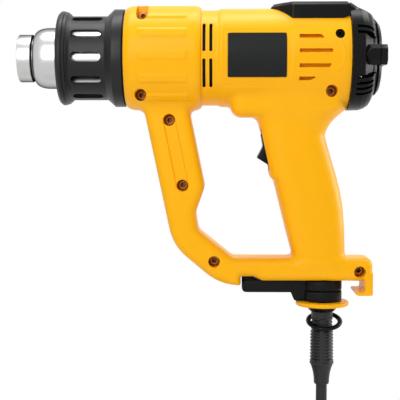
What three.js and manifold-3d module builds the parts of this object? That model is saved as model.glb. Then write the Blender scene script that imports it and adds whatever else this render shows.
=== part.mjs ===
// Hot air tool: a blower barrel over a closed loop handle, with a swivel stand and a mains lead.
// Millimetres, +Z up, nozzle towards -X, origin in the middle of the grip.
import * as THREE from "three";
import { mergeVertices } from "three/addons/utils/BufferGeometryUtils.js";
import Module from "manifold-3d";

const wasm = await Module();
wasm.setup();

// Fits
const SEAT_GAP = 0.3;
const RUN_GAP = 0.4;
const PARTING_GAP = 0.2;
const WALL = 2.6;

// Barrel, from the cap joint forwards
const AXIS_Z = 91.5;
const CAP_JOINT_X = 27;
const BODY_R = 33.7;
const BODY_LENGTH = 86.2;
const WAIST_R = 32.7;
const WAIST_LENGTH = 13.6;
const WAIST_STEP = 2.6;
const DRUM_R = 35.8;
const DRUM_LENGTH = 52;
const DRUM_FRONT_R = 33.6;
const DRUM_BEVEL = 5.3;
const DRUM_ROUND = 4.4;

// Front shroud
const COLLAR_LENGTH = 7.9;
const FLARE_LENGTH = 4.6;
const SHROUD_WAIST_R = 28.9;
const SHROUD_WAIST_LENGTH = 26.2;
const SHROUD_WALL = 2.4;
const LIP_R = 32.4;
const LIP_LENGTH = 7;
const LIP_MOUTH_R = 24.6;
const SPIGOT_LENGTH = 5;
const SLOT_COUNT = 11;
const SLOT_LENGTH = 21;
const SLOT_WIDTH = 6.7;
const SLOT_FIRST_DEG = -1.5;

// Steel nozzle tube and heater
const NOZZLE_REACH = 28.4;
const TUBE_WALL = 0.9;
const TUBE_R = 20.7;
const TIP_R = 16.1;
const TIP_LENGTH = 9.2;
const GROOVE_R = 14.7;
const GROOVE_LENGTH = 1.6;
const DOME_LENGTH = 10;
const TUBE_FLANGE_R = 25;
const MICA_WALL = 0.8;
const CORE_ARM_R = 13.2;
const CORE_ARM_WIDTH = 2.4;
const CORE_END_LENGTH = 4;
const CORE_LENGTH = 66;
const WIRE_R = 0.6;
const WIRE_TURNS = 7;
const PROBE_R = 1;
const FLANGE_PLATE = 3;

// Fan and motor
const DUCT_WALL = 1.5;
const DUCT_COLLAR_LENGTH = 6.5;
const FAN_TIP_GAP = 1;
const FAN_LENGTH = 12;
const FAN_HUB_R = 8;
const FAN_BLADES = 7;
const BLADE_THICKNESS = 1.4;
const BLADE_PITCH_DEG = 38;
const SHAFT_R = 1.6;
const MOTOR_R = 18;
const MOTOR_LENGTH = 46;
const MOTOR_TO_FAN = 4;
const MOUNT_THICKNESS = 4;
const MOUNT_RIM = 2.4;

// Control board and temperature control
const BOARD_THICKNESS = 1.6;
const BOARD_SIDE_GAP = 1.2;
const BOARD_TO_CAP = 5.1;
const POT_R = 8;
const POT_LENGTH = 7.5;
const POT_SHAFT_R = 3;
const SINK_WIDTH = 30;
const SINK_HEIGHT = 12;
const SINK_DEPTH = 9;
const SINK_FINS = 5;
const SINK_BASE = 2;
const CAPACITOR_R = 4.5;
const CAPACITOR_LENGTH = 10;

// Rear cap and dial
const CAP_R = 36.2;
const CAP_SIDE_LENGTH = 8.4;
const CAP_FACET_R = 29.6;
const CAP_BOWL_R = 25.8;
const CAP_LENGTH = 18.2;
const CAP_WALL = 2.4;
const CAP_HALF_TOP = 20;
const CAP_BEVEL = 2;
const CAP_SLOT_HEIGHT = 1.8;
const CAP_SLOT_START = 3.4;
const CAP_SLOT_DEGS = [31.7, 24.6, -24.1, -31.7, -38.7, -45.8];
const CAP_TONGUE_LENGTH = 11;
const CAP_TONGUE_HEIGHT = 9;
const CAP_TONGUE_THICKNESS = 3;
const CAP_SCREW_UP = 14;
const CAP_SCREW_BACK = 7.6;
const CAP_SCREW_HEAD_R = 2.9;
const DIAL_R = 25.4;
const DIAL_RISE = 5.6;
const DIAL_FACE_RISE = 2.8;
const DIAL_FACE_R = 21.5;
const DIAL_BAR_HALF = 6.5;
const DIAL_BAR_REACH = 33.4;
const DIAL_BAR_BEVEL = 2.6;
const INDEX_REACH = 33.8;
const INDEX_LENGTH = 9;
const INDEX_SHOULDER = 4.4;

// Top cover
const COVER_RISE = 2.6;
const COVER_HALF = 23;
const COVER_BEVEL = 2.2;
const COVER_LENGTH = 52.4;
const COVER_PROW = [[0, 5], [6, 14]];
const COVER_PROW_LENGTH = 13.6;
const COVER_SKIRT = 14;

// Side label plates
const LABEL_LENGTH = 39;
const LABEL_HEIGHT = 29;
const LABEL_BACK = 16;
const LABEL_THICKNESS = 0.7;
const LABEL_PROUD = 0.2;

// Vents through the housing
const VENT_WIDTH = 2.1;
const VENT_PITCH = 4.6;
const VENT_SHIFT = 1.3;
const VENT_BANDS = [[2.4, 21.3], [-21, -2.4]];
const LOUVRE_HEIGHT = 2.5;
const LOUVRE_START_X = -7.5;
const LOUVRES = [[12.4, 16], [2.8, 21.2], [-7, 20.5], [-15.5, 12]];

// Handle
const HANDLE_HALF = 16;
const HANDLE_ROUND = 5.8;
const BAR_TOP_Z = -46.4;
const BAR_UNDER_Z = -62.1;
const FOOT_REAR_X = 45;
const HOOK_WALL_X = 39.3;
const HOOK_TIP_X = 33.3;
const HOOK_TOP_Z = -69.4;
const HOOK_BOTTOM_Z = -72;
const TOE_X = -45.8;
const TOE_BOTTOM_Z = -65.7;
const NOTCH_Z = -59.2;
const NOTCH_FLAT_X = -36.4;
const NOTCH_END_X = -31;

// Edges of the front bar as [x, z], from the barrel down
const BAR_FRONT_EDGE = [[-118, 57.5], [-112.8, 53.6], [-111.1, 50], [-99.2, -6.7], [-94.9, -28.5],
  [-91.2, -37.6], [-81, -48.5], [-67.1, -59.7]];
const BAR_REAR_EDGE = [[-75, 58.5], [-79.6, 55.4], [-80.6, 51], [-78.9, 41.9], [-72.2, 9.5], [-71, 2],
  [-72.4, -4.4], [-75.8, -11.6], [-76.5, -16.5], [-75, -24.4], [-71.8, -30.2], [-61.4, -39], [-53.4, -44.9]];
const BAR_TOP_START_X = -48.6;
const BAR_UNDER_START_X = -60;
const BAR_HOLLOW_HEIGHTS = [50, 30, 9.5, 0, -11, -22];
const TOE_UNDERSIDE = [[-67.1, -59.7], [-57.5, -64.4]];
const TOE_FLAT_X = -50.5;
const TOE_ROOT_Z = -57;
const TOE_BEVEL = 1;
const HOOK_LIP_BEVEL = 2;

// Grip sections as [z, front x, rear x, half width], from the barrel down
const GRIP_TOP_DROP = 14;
const GRIP_SECTIONS = [
  [62, -51.5, 26.4, 24], [56, -51.5, 25.6, 21.6], [53, -50, 23, 20.5], [50.9, -45.5, 20.4, 20],
  [50.3, -34.6, 19.8, 19.8], [46, -33.6, 15, 19.2], [38, -31.9, 11.8, 18.6], [30.8, -30.6, 13.6, 18.4],
  [21, -28.4, 16.7, 18.4], [10, -25.9, 20, 18.4], [7.7, -23.3, 20.7, 18.4], [0, -21.6, 22.6, 18.4],
  [-12.4, -18.5, 24.8, 18.2], [-26.6, -14.9, 25.9, 17.8], [-39.5, -11.4, 26.3, 17], [-52, -8, 27.5, 15.4]];

// Housing screws
const COUNTERBORE_R = 4;
const BOSS_WALL = 1.3;
const SCREW_HEAD_R = 3.5;
const SCREW_HEAD_HEIGHT = 2.4;
const SCREW_SHANK_R = 1.6;
const SCREW_RECESS_R = 1.4;
const SCREW_GRIP = 9;
const DRUM_SCREWS = [[12, 27.9, 7], [11, -26.1, 9]];
const BAR_SCREWS = [[-95, 48.6], [-85.9, 3.9], [-64.2, -48.6]];
const BAR_SCREW_DEPTH = 3.2;
const FOOT_SCREW_IN = 9.2;
const FOOT_SCREW_UP = 6.6;
const REAR_SCREW_IN = 12.3;
const REAR_SCREW_DOWN = 23.5;
const REAR_SCREW_DEPTH = 12;

// Rocker switch, in the frame of the grip's front face
const SWITCH_X = -26.5;
const SWITCH_Z = 28.5;
const SWITCH_LEAN_DEG = 12.6;
const ROCKER_HALF = 8;
const ROCKER_PIN_R = 1.5;
const FRAME_HALF = 10.5;
const FRAME_TOP = 14.6;
const FRAME_BOTTOM = -13.4;
const FRAME_RIM = 1.8;
const FRAME_FRONT = -3;
const FRAME_BACK = 5.2;
const ROCKER_OUTLINE = [[-3.4, 11.6], [-3.5, 3], [-9.2, -3.8], [-3.4, -9.8], [1.2, -9.6], [1.2, 11.4]];
const MODULE_DEPTH = 17;
const MODULE_HALF = 8.5;

// Swivel stand under the bar
const POST_X = 11.5;
const HUB_R = 13.6;
const HUB_RING = 7.3;
const SPIGOT_R = 8.2;
const HUB_FLANGE_RIM = 1;
const HUB_FLANGE = 2.2;
const ARM_HALF = 6;
const ARM_TIP_X = -44.9;
const ARM_THICKNESS = 7;
const ARM_DROP = 1.6;
const ARM_NUB_LENGTH = 5.6;
const WEB_REACH = 18.6;
const RING_R = 18.5;
const RING_THICKNESS = 3.1;
const RING_BEVEL = 0.8;
const GLAND_TOP_R = 11.5;
const GLAND_LOW_R = 8.5;
const GLAND_HEIGHT = 3.8;

// Hanging ring round the cord sleeve
const LOOP_R = 11.1;
const LOOP_WIRE_R = 1.45;
const LOOP_SHIFT = 1.6;
const LOOP_Z = -92;
const LOOP_TILT_DEG = 20;
const LUG_THICKNESS = 4;
const LUG_R = 3.7;

// Cord sleeve, clamp and terminals
const TAIL_R = 5.6;
const SLEEVE_NECK_R = 7.4;
const SLEEVE_R = 8.35;
const SLEEVE_RIB_DEPTH = 0.9;
const SLEEVE_RIBS = 7;
const SLEEVE_NECK_LENGTH = 13;
const SLEEVE_RIB_LENGTH = 22.5;
const SLEEVE_TAPER_LENGTH = 11.3;
const SLEEVE_END_R = 5.15;
const SLEEVE_END_LENGTH = 4.6;
const CLAMP_HEIGHT = 5.4;
const CLAMP_END = 1.6;
const CLAMP_HALF_WIDTH = 7.6;
const CLAMP_SCREW_SPAN = 9.9;
const CLAMP_SCREW_R = 1.5;
const TERMINAL_LENGTH = 14;
const TERMINAL_HEIGHT = 10;
const TERMINAL_Z = -36;

// Mains lead: it hangs from the sleeve, turns along the floor and lies in a coil of two layers
const CORD_R = 3.9;
const FLOOR_Z = -200;
const TIE_THICKNESS = 1.2;
const TIE_WIDTH = 9;
const COIL_LAY_Z = FLOOR_Z + TIE_THICKNESS + SEAT_GAP + CORD_R;
const COIL_INNER_R = 34;
const COIL_PITCH = 8.4;
const COIL_TURNS_IN = 3;
const COIL_DIP = 2.2;
const COIL_X = 11.5 - COIL_INNER_R - COIL_PITCH * COIL_TURNS_IN;
const COIL_Y = 46;
const CORD_POINTS = [[11.5, 0, -136.5], [11.5, 0, -142], [11.5, 0, -148], [11.5, 0, -154], [11.5, 0, -158.6],
  [11.5, 1.2, -167.9], [11.5, 4.8, -176.6], [11.5, 10.5, -184.1], [11.5, 18, -189.8], [11.5, 26.7, -193.4],
  [11.5, 34.5, -194.6], [11.5, 37.9, -194.6]];
const COIL_TAIL = 34;
const COIL_TAIL_DROP = 2.7;

// Plug
const PLUG_LENGTH = 34;
const PLUG_HALF_WIDTH = 13.5;
const PLUG_HALF_HEIGHT = 11;
const PLUG_TAIL_LENGTH = 14;
const PLUG_TAIL_R = 5.4;
const BLADE_LENGTH = 17;
const BLADE_HALF_HEIGHT = 3.15;
const BLADE_HALF_WIDTH = 0.75;
const BLADE_SPAN = 6.35;
const EARTH_R = 2.4;
const EARTH_DROP = 6.5;
const EARTH_LENGTH = 20;

// Facets round the turned pieces
const ROUND = 24;
const SMALL_ROUND = 14;
const SCREW_ROUND = 8;

const radians = THREE.MathUtils.degToRad;
const footRound = HANDLE_ROUND + 0.8;

// A closed geometry becomes a solid with its faces pointing out
function solid(geometry) {
  const bare = geometry.index ? geometry.toNonIndexed() : geometry.clone();
  bare.deleteAttribute("normal");
  bare.deleteAttribute("uv");
  const merged = mergeVertices(bare, 1e-4);
  const points = merged.attributes.position;
  const index = merged.index.array;
  const triangles = [];
  let volume = 0;
  const a = new THREE.Vector3();
  const b = new THREE.Vector3();
  const c = new THREE.Vector3();
  for (let i = 0; i < index.length; i += 3) {
    const [p, q, r] = [index[i], index[i + 1], index[i + 2]];
    if (p === q || q === r || r === p) continue;
    triangles.push(p, q, r);
    a.fromBufferAttribute(points, p);
    b.fromBufferAttribute(points, q);
    c.fromBufferAttribute(points, r);
    volume += a.dot(b.cross(c));
  }
  if (volume < 0) triangles.reverse();
  return new wasm.Manifold(new wasm.Mesh({
    numProp: 3,
    vertProperties: new Float32Array(points.array),
    triVerts: new Uint32Array(triangles),
  }));
}

function geometryOf(shape) {
  const mesh = shape.getMesh();
  const geometry = new THREE.BufferGeometry();
  geometry.setAttribute("position", new THREE.BufferAttribute(new Float32Array(mesh.vertProperties), 3));
  geometry.setIndex(new THREE.BufferAttribute(new Uint32Array(mesh.triVerts), 1));
  geometry.computeVertexNormals();
  return geometry;
}

// Profiles are [radius, place along the axis]; they start and end on the axis or close on themselves
function lathe(profile, segments) {
  return new THREE.LatheGeometry(profile.map(([r, along]) => new THREE.Vector2(r, along)), segments);
}

function latheX(profile, segments = ROUND) {
  return solid(lathe(profile, segments).rotateZ(-Math.PI / 2).translate(0, 0, AXIS_Z));
}

function latheZ(profile, x, segments = SMALL_ROUND) {
  return solid(lathe(profile, segments).rotateX(Math.PI / 2).translate(x, 0, 0));
}

function latheY(profile, x, z, segments = SCREW_ROUND) {
  return solid(lathe(profile, segments).translate(x, 0, z));
}

function ring(inner, outer, from, to) {
  return [[inner, from], [outer, from], [outer, to], [inner, to], [inner, from]];
}

function rod(r, from, to) {
  return [[0, from], [r, from], [r, to], [0, to]];
}

function box([x0, x1], [y0, y1], [z0, z1]) {
  const geometry = new THREE.BoxGeometry(x1 - x0, y1 - y0, z1 - z0);
  return solid(geometry.translate((x0 + x1) / 2, (y0 + y1) / 2, (z0 + z1) / 2));
}

function shapeOf(points) {
  return new THREE.Shape(points.map(([x, y]) => new THREE.Vector2(x, y)));
}

// An outline in X and Z becomes a plate across Y, with its rim rounded by bevel
function plateXZ(points, half, bevel = 0, segments = 2) {
  const geometry = new THREE.ExtrudeGeometry(shapeOf(points), {
    depth: 2 * (half - bevel),
    bevelEnabled: bevel > 0,
    bevelThickness: bevel,
    bevelSize: bevel,
    bevelOffset: -bevel,
    bevelSegments: segments,
  });
  return solid(geometry.rotateX(Math.PI / 2).translate(0, half - bevel, 0));
}

// Rings of equal count become a closed skin with a fan on each end
function loft(rings) {
  const count = rings[0].length;
  const points = rings.flat(2);
  const triangles = [];
  for (let i = 0; i + 1 < rings.length; i++) {
    for (let j = 0; j < count; j++) {
      const k = (j + 1) % count;
      const low = i * count;
      const high = low + count;
      triangles.push(low + j, low + k, high + k, low + j, high + k, high + j);
    }
  }
  for (const [start, flip] of [[0, true], [(rings.length - 1) * count, false]]) {
    const middle = points.length / 3;
    const sum = [0, 0, 0];
    for (let j = 0; j < count; j++) {
      for (let axis = 0; axis < 3; axis++) sum[axis] += points[3 * (start + j) + axis] / count;
    }
    points.push(...sum);
    for (let j = 0; j < count; j++) {
      const k = (j + 1) % count;
      if (flip) triangles.push(middle, start + k, start + j);
      else triangles.push(middle, start + j, start + k);
    }
  }
  const geometry = new THREE.BufferGeometry();
  geometry.setAttribute("position", new THREE.Float32BufferAttribute(points, 3));
  geometry.setIndex(triangles);
  return solid(geometry);
}

// A tube of round sections along centre points, each section square to the path
function tube(points, r, sides) {
  const along = points.map((p) => new THREE.Vector3(...p));
  let side = new THREE.Vector3(1, 0, 0);
  const rings = along.map((p, i) => {
    const before = along[Math.max(i - 1, 0)];
    const after = along[Math.min(i + 1, along.length - 1)];
    const heading = after.clone().sub(before).normalize();
    if (Math.abs(heading.dot(side)) > 0.95) side = new THREE.Vector3(0, 0, 1);
    side = side.clone().addScaledVector(heading, -heading.dot(side)).normalize();
    const up = heading.clone().cross(side);
    return Array.from({ length: sides }, (_, j) => {
      const turn = (2 * Math.PI * j) / sides;
      const q = p.clone().addScaledVector(side, r * Math.cos(turn)).addScaledVector(up, r * Math.sin(turn));
      return [q.x, q.y, q.z];
    });
  });
  return loft(rings);
}

function union(list) {
  return list.reduce((whole, next) => whole.add(next));
}

function cutAll(shape, list) {
  return list.reduce((whole, next) => whole.subtract(next), shape);
}

const tool = new THREE.Group();

function add(name, shape, [color, roughness, metalness], parent = tool) {
  const material = new THREE.MeshStandardMaterial({ color, roughness, metalness });
  const mesh = new THREE.Mesh(geometryOf(shape), material);
  mesh.name = name;
  parent.add(mesh);
}

const yellow = [0xfdba18, 0.45, 0];
const black = [0x1b1c1c, 0.35, 0];
const satinBlack = [0x2c2d2e, 0.55, 0];
const rubber = [0x333434, 0.8, 0];
const steel = [0xd8d8d6, 0.25, 1];
const darkSteel = [0x6a5a48, 0.45, 1];
const brass = [0xc8a24a, 0.3, 1];
const ceramic = [0xe6ddc8, 0.8, 0];
const mica = [0xb9a27c, 0.6, 0];
const copperWire = [0xa8683c, 0.4, 1];
const greenBoard = [0x1f6b3a, 0.6, 0];
const aluminium = [0xb8babb, 0.4, 1];
const greyPlastic = [0x8d8f90, 0.6, 0];

// Places along the barrel
const bodyFrontX = CAP_JOINT_X - BODY_LENGTH;
const waistRearX = bodyFrontX - WAIST_STEP;
const waistFrontX = bodyFrontX - WAIST_LENGTH;
const drumFrontX = waistFrontX - DRUM_LENGTH;
const collarRearX = drumFrontX - SEAT_GAP;
const collarFrontX = collarRearX - COLLAR_LENGTH;
const shroudWaistRearX = collarFrontX - FLARE_LENGTH;
const lipRearX = shroudWaistRearX - SHROUD_WAIST_LENGTH;
const lipFrontX = lipRearX - LIP_LENGTH;
const noseX = lipFrontX - NOZZLE_REACH;
const bossR = COUNTERBORE_R + BOSS_WALL;
const coverTopZ = AXIS_Z + BODY_R + COVER_RISE;

// Housing screws as [x, z, depth of the counterbore floor from the parting plane]
const notchTopZ = AXIS_Z + DRUM_R + 1;
const screwPlaces = [
  ...DRUM_SCREWS.map(([back, up, depth]) => [drumFrontX + back, AXIS_Z + up, depth]),
  ...BAR_SCREWS.map(([x, z]) => [x, z, BAR_SCREW_DEPTH]),
  [FOOT_REAR_X - FOOT_SCREW_IN, BAR_UNDER_Z + FOOT_SCREW_UP, BAR_SCREW_DEPTH],
  [CAP_JOINT_X - REAR_SCREW_IN, AXIS_Z - REAR_SCREW_DOWN, REAR_SCREW_DEPTH],
];

// The barrel's outside, and its hollow when wall is taken off
function barrel(wall, overrun) {
  return latheX([
    [0, drumFrontX - overrun],
    [DRUM_FRONT_R - wall, drumFrontX - overrun],
    [DRUM_FRONT_R - wall, drumFrontX],
    [DRUM_R - wall, drumFrontX + DRUM_BEVEL],
    [DRUM_R - wall, waistFrontX - DRUM_ROUND],
    [DRUM_R - wall - (DRUM_R - WAIST_R) * 0.3, waistFrontX - DRUM_ROUND * 0.45],
    [WAIST_R - wall, waistFrontX],
    [WAIST_R - wall, waistRearX],
    [BODY_R - wall, bodyFrontX],
    [BODY_R - wall, CAP_JOINT_X + overrun],
    [0, CAP_JOINT_X + overrun],
  ].filter(([r, x], i, all) => i === 0 || r !== all[i - 1][0] || x !== all[i - 1][1]));
}

// Values between the listed ones, by height
function atHeight(list, z, column) {
  const high = list.findIndex((row) => row[0] <= z);
  if (high < 0) return list[list.length - 1][column];
  if (high === 0) return list[0][column];
  const [above, below] = [list[high - 1], list[high]];
  const share = (z - below[0]) / (above[0] - below[0]);
  return below[column] + share * (above[column] - below[column]);
}

function gripRing(z, front, rear, half) {
  const count = 20;
  const power = 2 / 2.5;
  const middle = (front + rear) / 2;
  const reach = (rear - front) / 2;
  return Array.from({ length: count }, (_, j) => {
    const turn = (2 * Math.PI * (j + 0.5)) / count;
    const x = Math.sign(Math.cos(turn)) * Math.abs(Math.cos(turn)) ** power;
    const y = Math.sign(Math.sin(turn)) * Math.abs(Math.sin(turn)) ** power;
    return [middle + reach * x, half * y, z];
  });
}

// The topmost section lies inside the barrel, so that the grip flows out of its flanks
const gripTopZ = AXIS_Z - GRIP_TOP_DROP;
const gripTopHalf = Math.sqrt(BODY_R ** 2 - GRIP_TOP_DROP ** 2) - WALL;
const gripSections = [[gripTopZ, ...GRIP_SECTIONS[0].slice(1, 3), gripTopHalf], ...GRIP_SECTIONS];

function gripOuter() {
  return loft(gripSections.map((row) => gripRing(...row)));
}

function gripHollow() {
  const rings = gripSections.filter((_, i) => i % 2 === 0).map(([z]) => {
    const near = [z - WALL, z, z + WALL];
    const front = Math.max(...near.map((h) => atHeight(gripSections, h, 1))) + WALL;
    const rear = Math.min(...near.map((h) => atHeight(gripSections, h, 2))) - WALL;
    return gripRing(z, front, rear, atHeight(gripSections, z, 3) - WALL);
  });
  return loft(rings);
}

// The loop of front bar, bottom bar and foot as one outline
function loopOuter() {
  const inBarrel = AXIS_Z - WAIST_R / 2;
  const corner = Array.from({ length: 4 }, (_, i) => {
    const turn = (i / 3) * (Math.PI / 2);
    const x = FOOT_REAR_X - footRound + footRound * Math.cos(turn);
    return [x, BAR_TOP_Z - footRound + footRound * Math.sin(turn)];
  });
  const outline = [
    [BAR_FRONT_EDGE[0][0], inBarrel],
    ...BAR_FRONT_EDGE,
    [BAR_UNDER_START_X, BAR_UNDER_Z],
    [FOOT_REAR_X, BAR_UNDER_Z],
    ...corner,
    [BAR_TOP_START_X, BAR_TOP_Z],
    ...[...BAR_REAR_EDGE].reverse(),
    [BAR_REAR_EDGE[0][0], inBarrel],
  ];
  const toe = [...TOE_UNDERSIDE, [TOE_FLAT_X, TOE_BOTTOM_Z], [TOE_X - TOE_BEVEL, TOE_BOTTOM_Z],
    [TOE_X, TOE_BOTTOM_Z + TOE_BEVEL], [TOE_X, TOE_ROOT_Z],
    [TOE_UNDERSIDE[0][0] + 2 * TOE_BEVEL, TOE_ROOT_Z]];
  const below = BAR_UNDER_Z - HANDLE_HALF;
  const above = BAR_UNDER_Z + HANDLE_ROUND;
  const notch = [[TOE_X, NOTCH_Z], [NOTCH_FLAT_X, NOTCH_Z], [NOTCH_END_X, BAR_UNDER_Z], [NOTCH_END_X, below],
    [TOE_X, below]];
  const hook = [[HOOK_WALL_X, above], [HOOK_WALL_X, HOOK_TOP_Z], [HOOK_TIP_X, HOOK_TOP_Z],
    [HOOK_TIP_X + HOOK_LIP_BEVEL, HOOK_BOTTOM_Z], [FOOT_REAR_X, HOOK_BOTTOM_Z], [FOOT_REAR_X, above]];
  const bar = plateXZ(outline, HANDLE_HALF, HANDLE_ROUND);
  const toed = bar.add(plateXZ(toe, HANDLE_HALF - HOOK_LIP_BEVEL));
  return toed.subtract(plateXZ(notch, 2 * HANDLE_HALF)).add(plateXZ(hook, HANDLE_HALF - SEAT_GAP));
}

function edgeAt(edge, z) {
  return atHeight(edge.map(([x, height]) => [height, x]), z, 1);
}

function loopHollow() {
  const left = BAR_HOLLOW_HEIGHTS.map((z) => [edgeAt(BAR_FRONT_EDGE, z) + WALL, z]);
  const right = BAR_HOLLOW_HEIGHTS.map((z) => [edgeAt(BAR_REAR_EDGE, z) - WALL, z]).reverse();
  const up = AXIS_Z - WAIST_R / 2;
  const shaft = [[left[0][0], up], ...left, ...right, [right.at(-1)[0], up]];
  const floor = [[NOTCH_END_X + WALL, BAR_UNDER_Z + WALL], [FOOT_REAR_X - WALL, BAR_UNDER_Z + WALL],
    [FOOT_REAR_X - WALL, BAR_TOP_Z - footRound], [FOOT_REAR_X - footRound, BAR_TOP_Z - WALL],
    [NOTCH_END_X + WALL, BAR_TOP_Z - WALL]];
  const half = HANDLE_HALF - WALL;
  return plateXZ(shaft, half, HANDLE_ROUND - WALL, 2).add(plateXZ(floor, half));
}

// Curved label plates lie in shallow recesses of the barrel's sides
const labelRearX = -LABEL_BACK;
const labelFrontX = labelRearX - LABEL_LENGTH;
const labelOuterR = BODY_R + LABEL_PROUD;
const labelInnerR = labelOuterR - LABEL_THICKNESS;

function labelPlate(side, extra) {
  const ends = [labelFrontX - extra, labelRearX + extra];
  const shell = latheX(ring(labelInnerR - extra, labelOuterR + 2 * extra, ...ends));
  const half = LABEL_HEIGHT / 2 + extra;
  const y = side < 0 ? [-2 * BODY_R, 0] : [0, 2 * BODY_R];
  return shell.intersect(box([ends[0] - WALL, ends[1] + WALL], y, [AXIS_Z - half, AXIS_Z + half]));
}

// Vent slots, made for one side and mirrored by side
function ventCuts(side) {
  const across = side < 0 ? [-2 * DRUM_R, -BODY_R / 2] : [BODY_R / 2, 2 * DRUM_R];
  const cuts = [];
  const middle = (waistFrontX + waistRearX) / 2 - VENT_SHIFT;
  for (const step of [-0.5, 0.5]) {
    const x = middle + step * VENT_PITCH;
    for (const [low, high] of VENT_BANDS) {
      cuts.push(box([x - VENT_WIDTH / 2, x + VENT_WIDTH / 2], across, [AXIS_Z + low, AXIS_Z + high]));
    }
  }
  for (const [up, length] of LOUVRES) {
    const z = [AXIS_Z + up - LOUVRE_HEIGHT / 2, AXIS_Z + up + LOUVRE_HEIGHT / 2];
    cuts.push(box([LOUVRE_START_X, LOUVRE_START_X + length], across, z));
  }
  return cuts;
}

function switchPlace(shape) {
  return shape.rotate([0, -SWITCH_LEAN_DEG, 0]).translate([SWITCH_X, 0, SWITCH_Z]);
}

const capScrewX = CAP_JOINT_X - CAP_SCREW_BACK;
const capScrewZ = AXIS_Z + CAP_SCREW_UP;
const capScrewSeat = Math.sqrt((BODY_R - WALL) ** 2 - (CAP_SCREW_UP + CAP_TONGUE_HEIGHT / 2) ** 2) - SEAT_GAP;

// Housing halves
function housing() {
  const outer = union([barrel(0, 0), gripOuter(), loopOuter()]);
  const hollow = union([barrel(WALL, 2), gripHollow(), loopHollow()]);
  const wide = 2 * DRUM_R;
  const columns = screwPlaces.map(([x, z]) => latheY(rod(bossR, -wide, wide), x, z, SMALL_ROUND));
  const [notchX, notchZ, notchDepth] = screwPlaces[0];
  columns.push(box([notchX - bossR, notchX + bossR], [-wide, wide], [notchZ, notchTopZ]));
  let shell = outer.subtract(hollow).add(union(columns).intersect(outer));
  const notchSides = [notchX - COUNTERBORE_R, notchX + COUNTERBORE_R];
  const cuts = [box(notchSides, [-wide, -notchDepth], [notchZ, notchTopZ])];
  for (const [x, z, depth] of screwPlaces) {
    cuts.push(latheY(rod(COUNTERBORE_R, -wide, -depth), x, z, SMALL_ROUND));
    cuts.push(latheY(rod(SCREW_SHANK_R + SEAT_GAP, -depth - 1, SCREW_GRIP + 1), x, z));
  }
  for (const side of [-1, 1]) {
    cuts.push(labelPlate(side, SEAT_GAP), ...ventCuts(side));
    const reach = side < 0 ? [-wide, -capScrewSeat] : [capScrewSeat, wide];
    cuts.push(latheY(rod(CAP_SCREW_HEAD_R + SEAT_GAP, ...reach), capScrewX, capScrewZ, SMALL_ROUND));
  }
  const opening = box([FRAME_FRONT - 12, FRAME_BACK + SEAT_GAP],
    [-FRAME_HALF - SEAT_GAP, FRAME_HALF + SEAT_GAP], [FRAME_BOTTOM - SEAT_GAP, FRAME_TOP + SEAT_GAP]);
  cuts.push(switchPlace(opening));
  cuts.push(latheZ(rod(SPIGOT_R + SEAT_GAP, BAR_UNDER_Z - 1, BAR_UNDER_Z + WALL + 1), POST_X));
  shell = cutAll(shell, cuts);
  const far = 400;
  const gap = PARTING_GAP / 2;
  return [-1, 1].map((side) => {
    const y = side < 0 ? [-far, -gap] : [gap, far];
    return shell.intersect(box([-far, far], y, [-far, far]));
  });
}

const [housingLeft, housingRight] = housing();
add("housing_left", housingLeft, yellow);
add("housing_right", housingRight, yellow);
add("label_left", labelPlate(-1, 0), satinBlack);
add("label_right", labelPlate(1, 0), satinBlack);

// Screws that hold the halves together, seen from the left side
function screw(headR, headHeight, shankR, recessR, length) {
  return [[0, headHeight * 0.4], [recessR, headHeight * 0.4], [recessR, 0], [headR, 0], [headR, headHeight],
    [shankR, headHeight], [shankR, headHeight + length], [0, headHeight + length]];
}

screwPlaces.forEach(([x, z, depth], i) => {
  const length = depth + SCREW_GRIP - SEAT_GAP;
  const profile = screw(SCREW_HEAD_R, SCREW_HEAD_HEIGHT, SCREW_SHANK_R, SCREW_RECESS_R, length);
  const start = -depth - SCREW_HEAD_HEIGHT - SEAT_GAP;
  const placed = profile.map(([r, along]) => [r, start + along]);
  add(`housing_screw_${i + 1}`, latheY(placed, x, z), darkSteel);
});

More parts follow.
